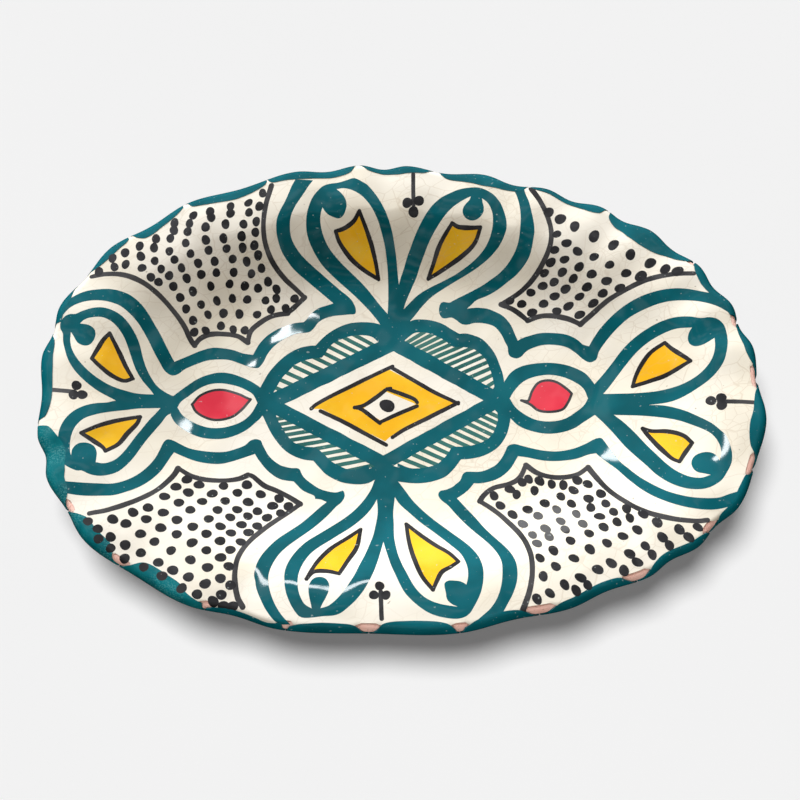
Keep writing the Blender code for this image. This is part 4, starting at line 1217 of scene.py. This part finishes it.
def paint_grey(finish):
    film = Film()
    film.outlines = [stroke(FIELD_LINE_WIDTH, points) for points in FIELD_LINES]
    film.outlines += [stroke(ALMOND_LINE_WIDTH, side) for sides in ALMONDS for side in sides]
    film.outlines += [stroke(CLUB_STEM_WIDTH, stem) for *_, stem in CLUBS]
    film.piece("grey_lines", finish, "black_enamel", GREY_LIFT)


# Where the face glaze ends past the crown of the lip: run over on the far side, drawn back elsewhere
GLAZED_LIP_MIDDLE = 121
GLAZED_LIP_HALF = 72
GLAZED_LIP_FADE = 9
GLAZED_LIP_END = 7.0
COVERED_LIP_END = 2.4
BARE_LIP_END = 0.0
BARE_LIP_FADE = 1.2
LIP_START = 4.0
BACK_LIP_ANGLE = -38
UNDERSIDE_STRIDE = 3
LIFT_STEP = 0.004
# Parts of the teal motifs that catch a highlight, from their near left corner to their far right one
SHINING = {
    "contour_near_left": (-75, -110, 0, -72),
    "petals_near": (-60, -110, 0, -72),
    "contour_far_left": (-68, 14, -36, 40),
    "ring_left": (-100, -24, -78, -8),
    "petals_right": (122, -37, 150, -14),
    "contour_near_right": (76, -40, 100, -12),
}
VEILED_DOTS = (62, -60, 16, 11)
GLAZE_ROUGHNESS = 0.07
GLAZE_UNEVEN = 0.012
CRACKLE_TURN = 28
CRACKLE_COLOUR = rgb(0.50, 0.38, 0.25)
PINHOLE_COLOUR = rgb(0.55, 0.62, 0.6)

dish = bpy.data.collections.new("painted_oval_dish")
bpy.context.scene.collection.children.link(dish)
glaze = glaze_finish()
clay = clay_finish()
teal = enamel_finish("teal_enamel", rgb(0.001, 0.088, 0.108), rgb(0.0015, 0.112, 0.140), rgb(0.006, 0.145, 0.17))
wash = wash_finish("teal_wash", rgb(0.001, 0.10, 0.118), rgb(0.003, 0.145, 0.165), rgb(0.10, 0.36, 0.37))
hatch = enamel_finish("hatch_enamel", rgb(0.02, 0.11, 0.10), rgb(0.04, 0.16, 0.14), rgb(0.1, 0.22, 0.19))
yellow = enamel_finish("yellow_enamel", rgb(0.90, 0.46, 0.012), rgb(0.94, 0.54, 0.022), rgb(0.94, 0.60, 0.05), 0.12)
red = enamel_finish("red_enamel", rgb(0.72, 0.035, 0.065), rgb(0.78, 0.055, 0.085), rgb(0.82, 0.1, 0.13))
black = enamel_finish("black_enamel", rgb(0.018, 0.0175, 0.019), rgb(0.032, 0.0315, 0.035), rgb(0.055, 0.054, 0.057))
grey = enamel_finish("grey_enamel", rgb(0.029, 0.029, 0.031), rgb(0.062, 0.061, 0.064), rgb(0.145, 0.145, 0.148))

build_clay(clay)
build_glaze(glaze)
build_back_glaze(glaze)
for dab_number in range(1, len(DABS) + 1):
    build_dab(dab_number, wash if dab_number in WASHED_DABS else teal)
paint_teal(teal)
paint_hatching(hatch)
paint_yellow(yellow)
paint_red(red)
paint_grey(grey)
paint_black(black)
paint_dots(black)


# Stage: a pale floor, a soft window behind the dish, and a high light for the floor and its shadow
FLOOR_SIZE = 6.0
WHITE = (1.0, 1.0, 1.0)
COOL_WHITE = (0.97, 1.0, 1.05)
WARM_WHITE = (1.07, 0.95, 0.80)
BACKDROP_GLOW = 0.89
SKY_DIM = 0.02
WINDOW_TURN = 97
WINDOW_RISE = 30
WINDOW_GLOW = 0.28
CLOUD_GLOW = 0.5
DISH_SUN_TURN = 114
DISH_SUN_RISE = 30
DISH_SUN_STRENGTH = 5.3
DISH_SUN_SPREAD = 50
FILL_TURN = 130
FILL_RISE = 70
FILL_STRENGTH = 0.98
FILL_SPREAD = 150
LIP_FILL_TURN = 280
LIP_FILL_RISE = 14
LIP_FILL_STRENGTH = 1.5
LIP_FILL_SPREAD = 70
BOUNCE_TURN = 280
BOUNCE_RISE = -60
BOUNCE_STRENGTH = 0.9
BOUNCE_SPREAD = 150
FLOOR_SUN_TURN = 136
FLOOR_SUN_RISE = 77.8
FLOOR_SUN_STRENGTH = 2.85
FLOOR_SUN_SPREAD = 31
FLOOR_GLOW = 0.16
# Glints of the window's bright bars: where each lies in the dish, its width and height in degrees seen from
# there, its brightness and the pieces it shows on
GLINT_DISTANCE = 1.5
GLINTS = (
    ((-44, -87), 22, 3.4, 19, ("contour_near_left_shine", "petals_near_shine")),
    ((-54, 28), 6, 5, 26, ("contour_far_left_shine",)),
    ((-90, -16.5), 6, 4, 24, ("ring_left_shine",)),
    ((133, -28), 2.5, 20, 24, ("petals_right_shine",)),
    ((88, -26), 3, 3, 24, ("contour_near_right_shine",)),
    ((62, -60), 30, 22, 0.8, ("veiled_dots",)),
    ((60, -59), 17, 12, 1.7, ("veiled_dots",)),
)


def light_from(turn, rise):
    """Direction to a light from its turn round the dish and its rise above the table, in degrees."""
    turn, rise = math.radians(turn), math.radians(rise)
    return Vector((math.cos(turn) * math.cos(rise), math.sin(turn) * math.cos(rise), math.sin(rise)))


def gather(name, starts):
    """A collection of the dish's pieces whose names start in given ways, for a light to shine on."""
    gathered = bpy.data.collections.new(name)
    for piece in dish.objects:
        if piece.name.startswith(starts):
            gathered.objects.link(piece)
    return gathered


def add_light(name, lamp, toward, receivers):
    """A light that shines from a direction on the objects of one collection."""
    made = bpy.data.objects.new(name, lamp)
    made.rotation_euler = toward.to_track_quat("Z", "Y").to_euler()
    bpy.context.scene.collection.objects.link(made)
    made.light_linking.receiver_collection = receivers
    return made


def add_sun(name, turn, rise, strength, spread, tint, receivers):
    """A broad light that is not itself mirrored in the glaze."""
    lamp = bpy.data.lights.new(name, "SUN")
    lamp.energy = strength
    lamp.color = tint
    lamp.angle = math.radians(spread)
    made = add_light(name, lamp, light_from(turn, rise), receivers)
    made.visible_glossy = False
    return made


def add_glint(name, spot_place, width, height, brightness, pieces):
    """A small bright bar, placed so that the camera sees it mirrored at a place on the dish."""
    places = np.array([spot_place], float)
    seen = Vector(on_skin(places)[0] * 0.001)
    normal = Vector(skin_normals(places)[0])
    toward = (seen - viewer.location).normalized().reflect(normal)
    lamp = bpy.data.lights.new(name, "AREA")
    lamp.shape = "RECTANGLE"
    lamp.size = 2 * GLINT_DISTANCE * math.tan(math.radians(width / 2))
    lamp.size_y = 2 * GLINT_DISTANCE * math.tan(math.radians(height / 2))
    lamp.energy = brightness * math.pi * lamp.size * lamp.size_y
    made = add_light(name, lamp, toward, gather(name, pieces))
    made.location = seen + toward * GLINT_DISTANCE
    made.visible_diffuse = False
    made.visible_camera = False


def build_sky():
    """What the glaze mirrors: dark below, dim above, a window behind and soft clouds; and a pale backdrop."""
    world = bpy.data.worlds.new("studio")
    world.use_nodes = True
    sky = Nodes(world.node_tree)
    direction = sky.node("TexCoord", {}).outputs["Generated"]
    up = sky.node("SeparateXYZ", {"Vector": direction}).outputs["Z"]
    window = tuple(light_from(WINDOW_TURN, WINDOW_RISE))
    facing = sky.node("VectorMath", {0: direction, 1: window}, operation="DOT_PRODUCT").outputs["Value"]
    clouds = sky.span(sky.noise(direction, 11.0, 2.0), 0.47, 0.66, CLOUD_GLOW)
    overhead = sky.math("MULTIPLY", clouds, sky.span(up, 0.72, 0.86))
    glow = sky.math("ADD", sky.span(facing, 0.45, 0.97, WINDOW_GLOW), overhead)
    mirrored = sky.math("MULTIPLY", sky.math("ADD", glow, SKY_DIM), sky.span(up, -0.02, 0.12))
    seen = sky.math("MULTIPLY", sky.node("LightPath", {}).outputs["Is Camera Ray"], BACKDROP_GLOW)
    strength = sky.math("MAXIMUM", mirrored, seen)
    sky.tree.links.new(strength, sky.tree.nodes["Background"].inputs["Strength"])
    sky.tree.nodes["Background"].inputs["Color"].default_value = rgb(0.97, 0.99, 1.0)
    world.cycles_visibility.diffuse = False
    return world


stage = bpy.data.collections.new("stage")
bpy.context.scene.collection.children.link(stage)
floor_mesh = bpy.data.meshes.new("floor")
half = FLOOR_SIZE / 2
floor_mesh.from_pydata([(-half, -half, 0), (half, -half, 0), (half, half, 0), (-half, half, 0)], [], [(0, 1, 2, 3)])
floor_finish = Finish("floor_paper", 0.9)
floor_tint = floor_finish.span(floor_finish.noise(floor_finish.place(), 4.0), 0.2, 0.8)
floor_finish.colour(floor_finish.mix(floor_tint, rgb(0.815, 0.815, 0.815), rgb(0.825, 0.825, 0.825)))
floor_finish.shader.inputs["Emission Color"].default_value = rgb(*WHITE)
floor_finish.shader.inputs["Emission Strength"].default_value = FLOOR_GLOW
floor_finish.shader.inputs["Specular IOR Level"].default_value = 0.0
floor_mesh.materials.append(floor_finish.material)
floor = bpy.data.objects.new("floor", floor_mesh)
floor.visible_diffuse = False
floor.visible_glossy = False
stage.objects.link(floor)

scene = bpy.context.scene
scene.world = build_sky()
scene.view_settings.view_transform = "Standard"
add_sun("dish_sun", DISH_SUN_TURN, DISH_SUN_RISE, DISH_SUN_STRENGTH, DISH_SUN_SPREAD, COOL_WHITE, dish)
add_sun("dish_fill", FILL_TURN, FILL_RISE, FILL_STRENGTH, FILL_SPREAD, WARM_WHITE, dish)
lip = gather("lip", ("clay_dish", "lip_stroke"))
add_sun("lip_fill", LIP_FILL_TURN, LIP_FILL_RISE, LIP_FILL_STRENGTH, LIP_FILL_SPREAD, WHITE, lip)
underside = gather("underside", ("glaze_on_back", "clay_foot"))
bounce = add_sun("floor_bounce", BOUNCE_TURN, BOUNCE_RISE, BOUNCE_STRENGTH, BOUNCE_SPREAD, WHITE, underside)
bounce.light_linking.blocker_collection = dish
# The floor's own bounce does not light the floor again
for piece in underside.objects:
    piece.visible_diffuse = False
add_sun("floor_sun", FLOOR_SUN_TURN, FLOOR_SUN_RISE, FLOOR_SUN_STRENGTH, FLOOR_SUN_SPREAD, WHITE, stage)

# Camera: where the photo was taken from, as fitted to the rim and the foot
CAMERA_TURN = -85
CAMERA_RISE = 66
CAMERA_ROLL = -3.62
CAMERA_DISTANCE = 639.0
CAMERA_TARGET = (0.189, -0.221, 11.7)
CAMERA_LENS = 67.5

camera = bpy.data.cameras.new("camera")
camera.lens = CAMERA_LENS
camera.sensor_width = 36.0
camera.clip_start = 0.01
back = light_from(CAMERA_TURN, CAMERA_RISE)
right = Vector((0, 0, 1)).cross(back).normalized()
up = back.cross(right)
roll = math.radians(CAMERA_ROLL)
rolled_right = right * math.cos(roll) + up * math.sin(roll)
rolled_up = up * math.cos(roll) - right * math.sin(roll)
place = (Vector(CAMERA_TARGET) + back * CAMERA_DISTANCE) * 0.001
viewer = bpy.data.objects.new("camera", camera)
viewer.matrix_world = Matrix((rolled_right, rolled_up, back)).transposed().to_4x4()
viewer.location = place
scene.collection.objects.link(viewer)
scene.camera = viewer
for glint_number, glint in enumerate(GLINTS, start=1):
    add_glint(f"glint_{glint_number}", *glint)
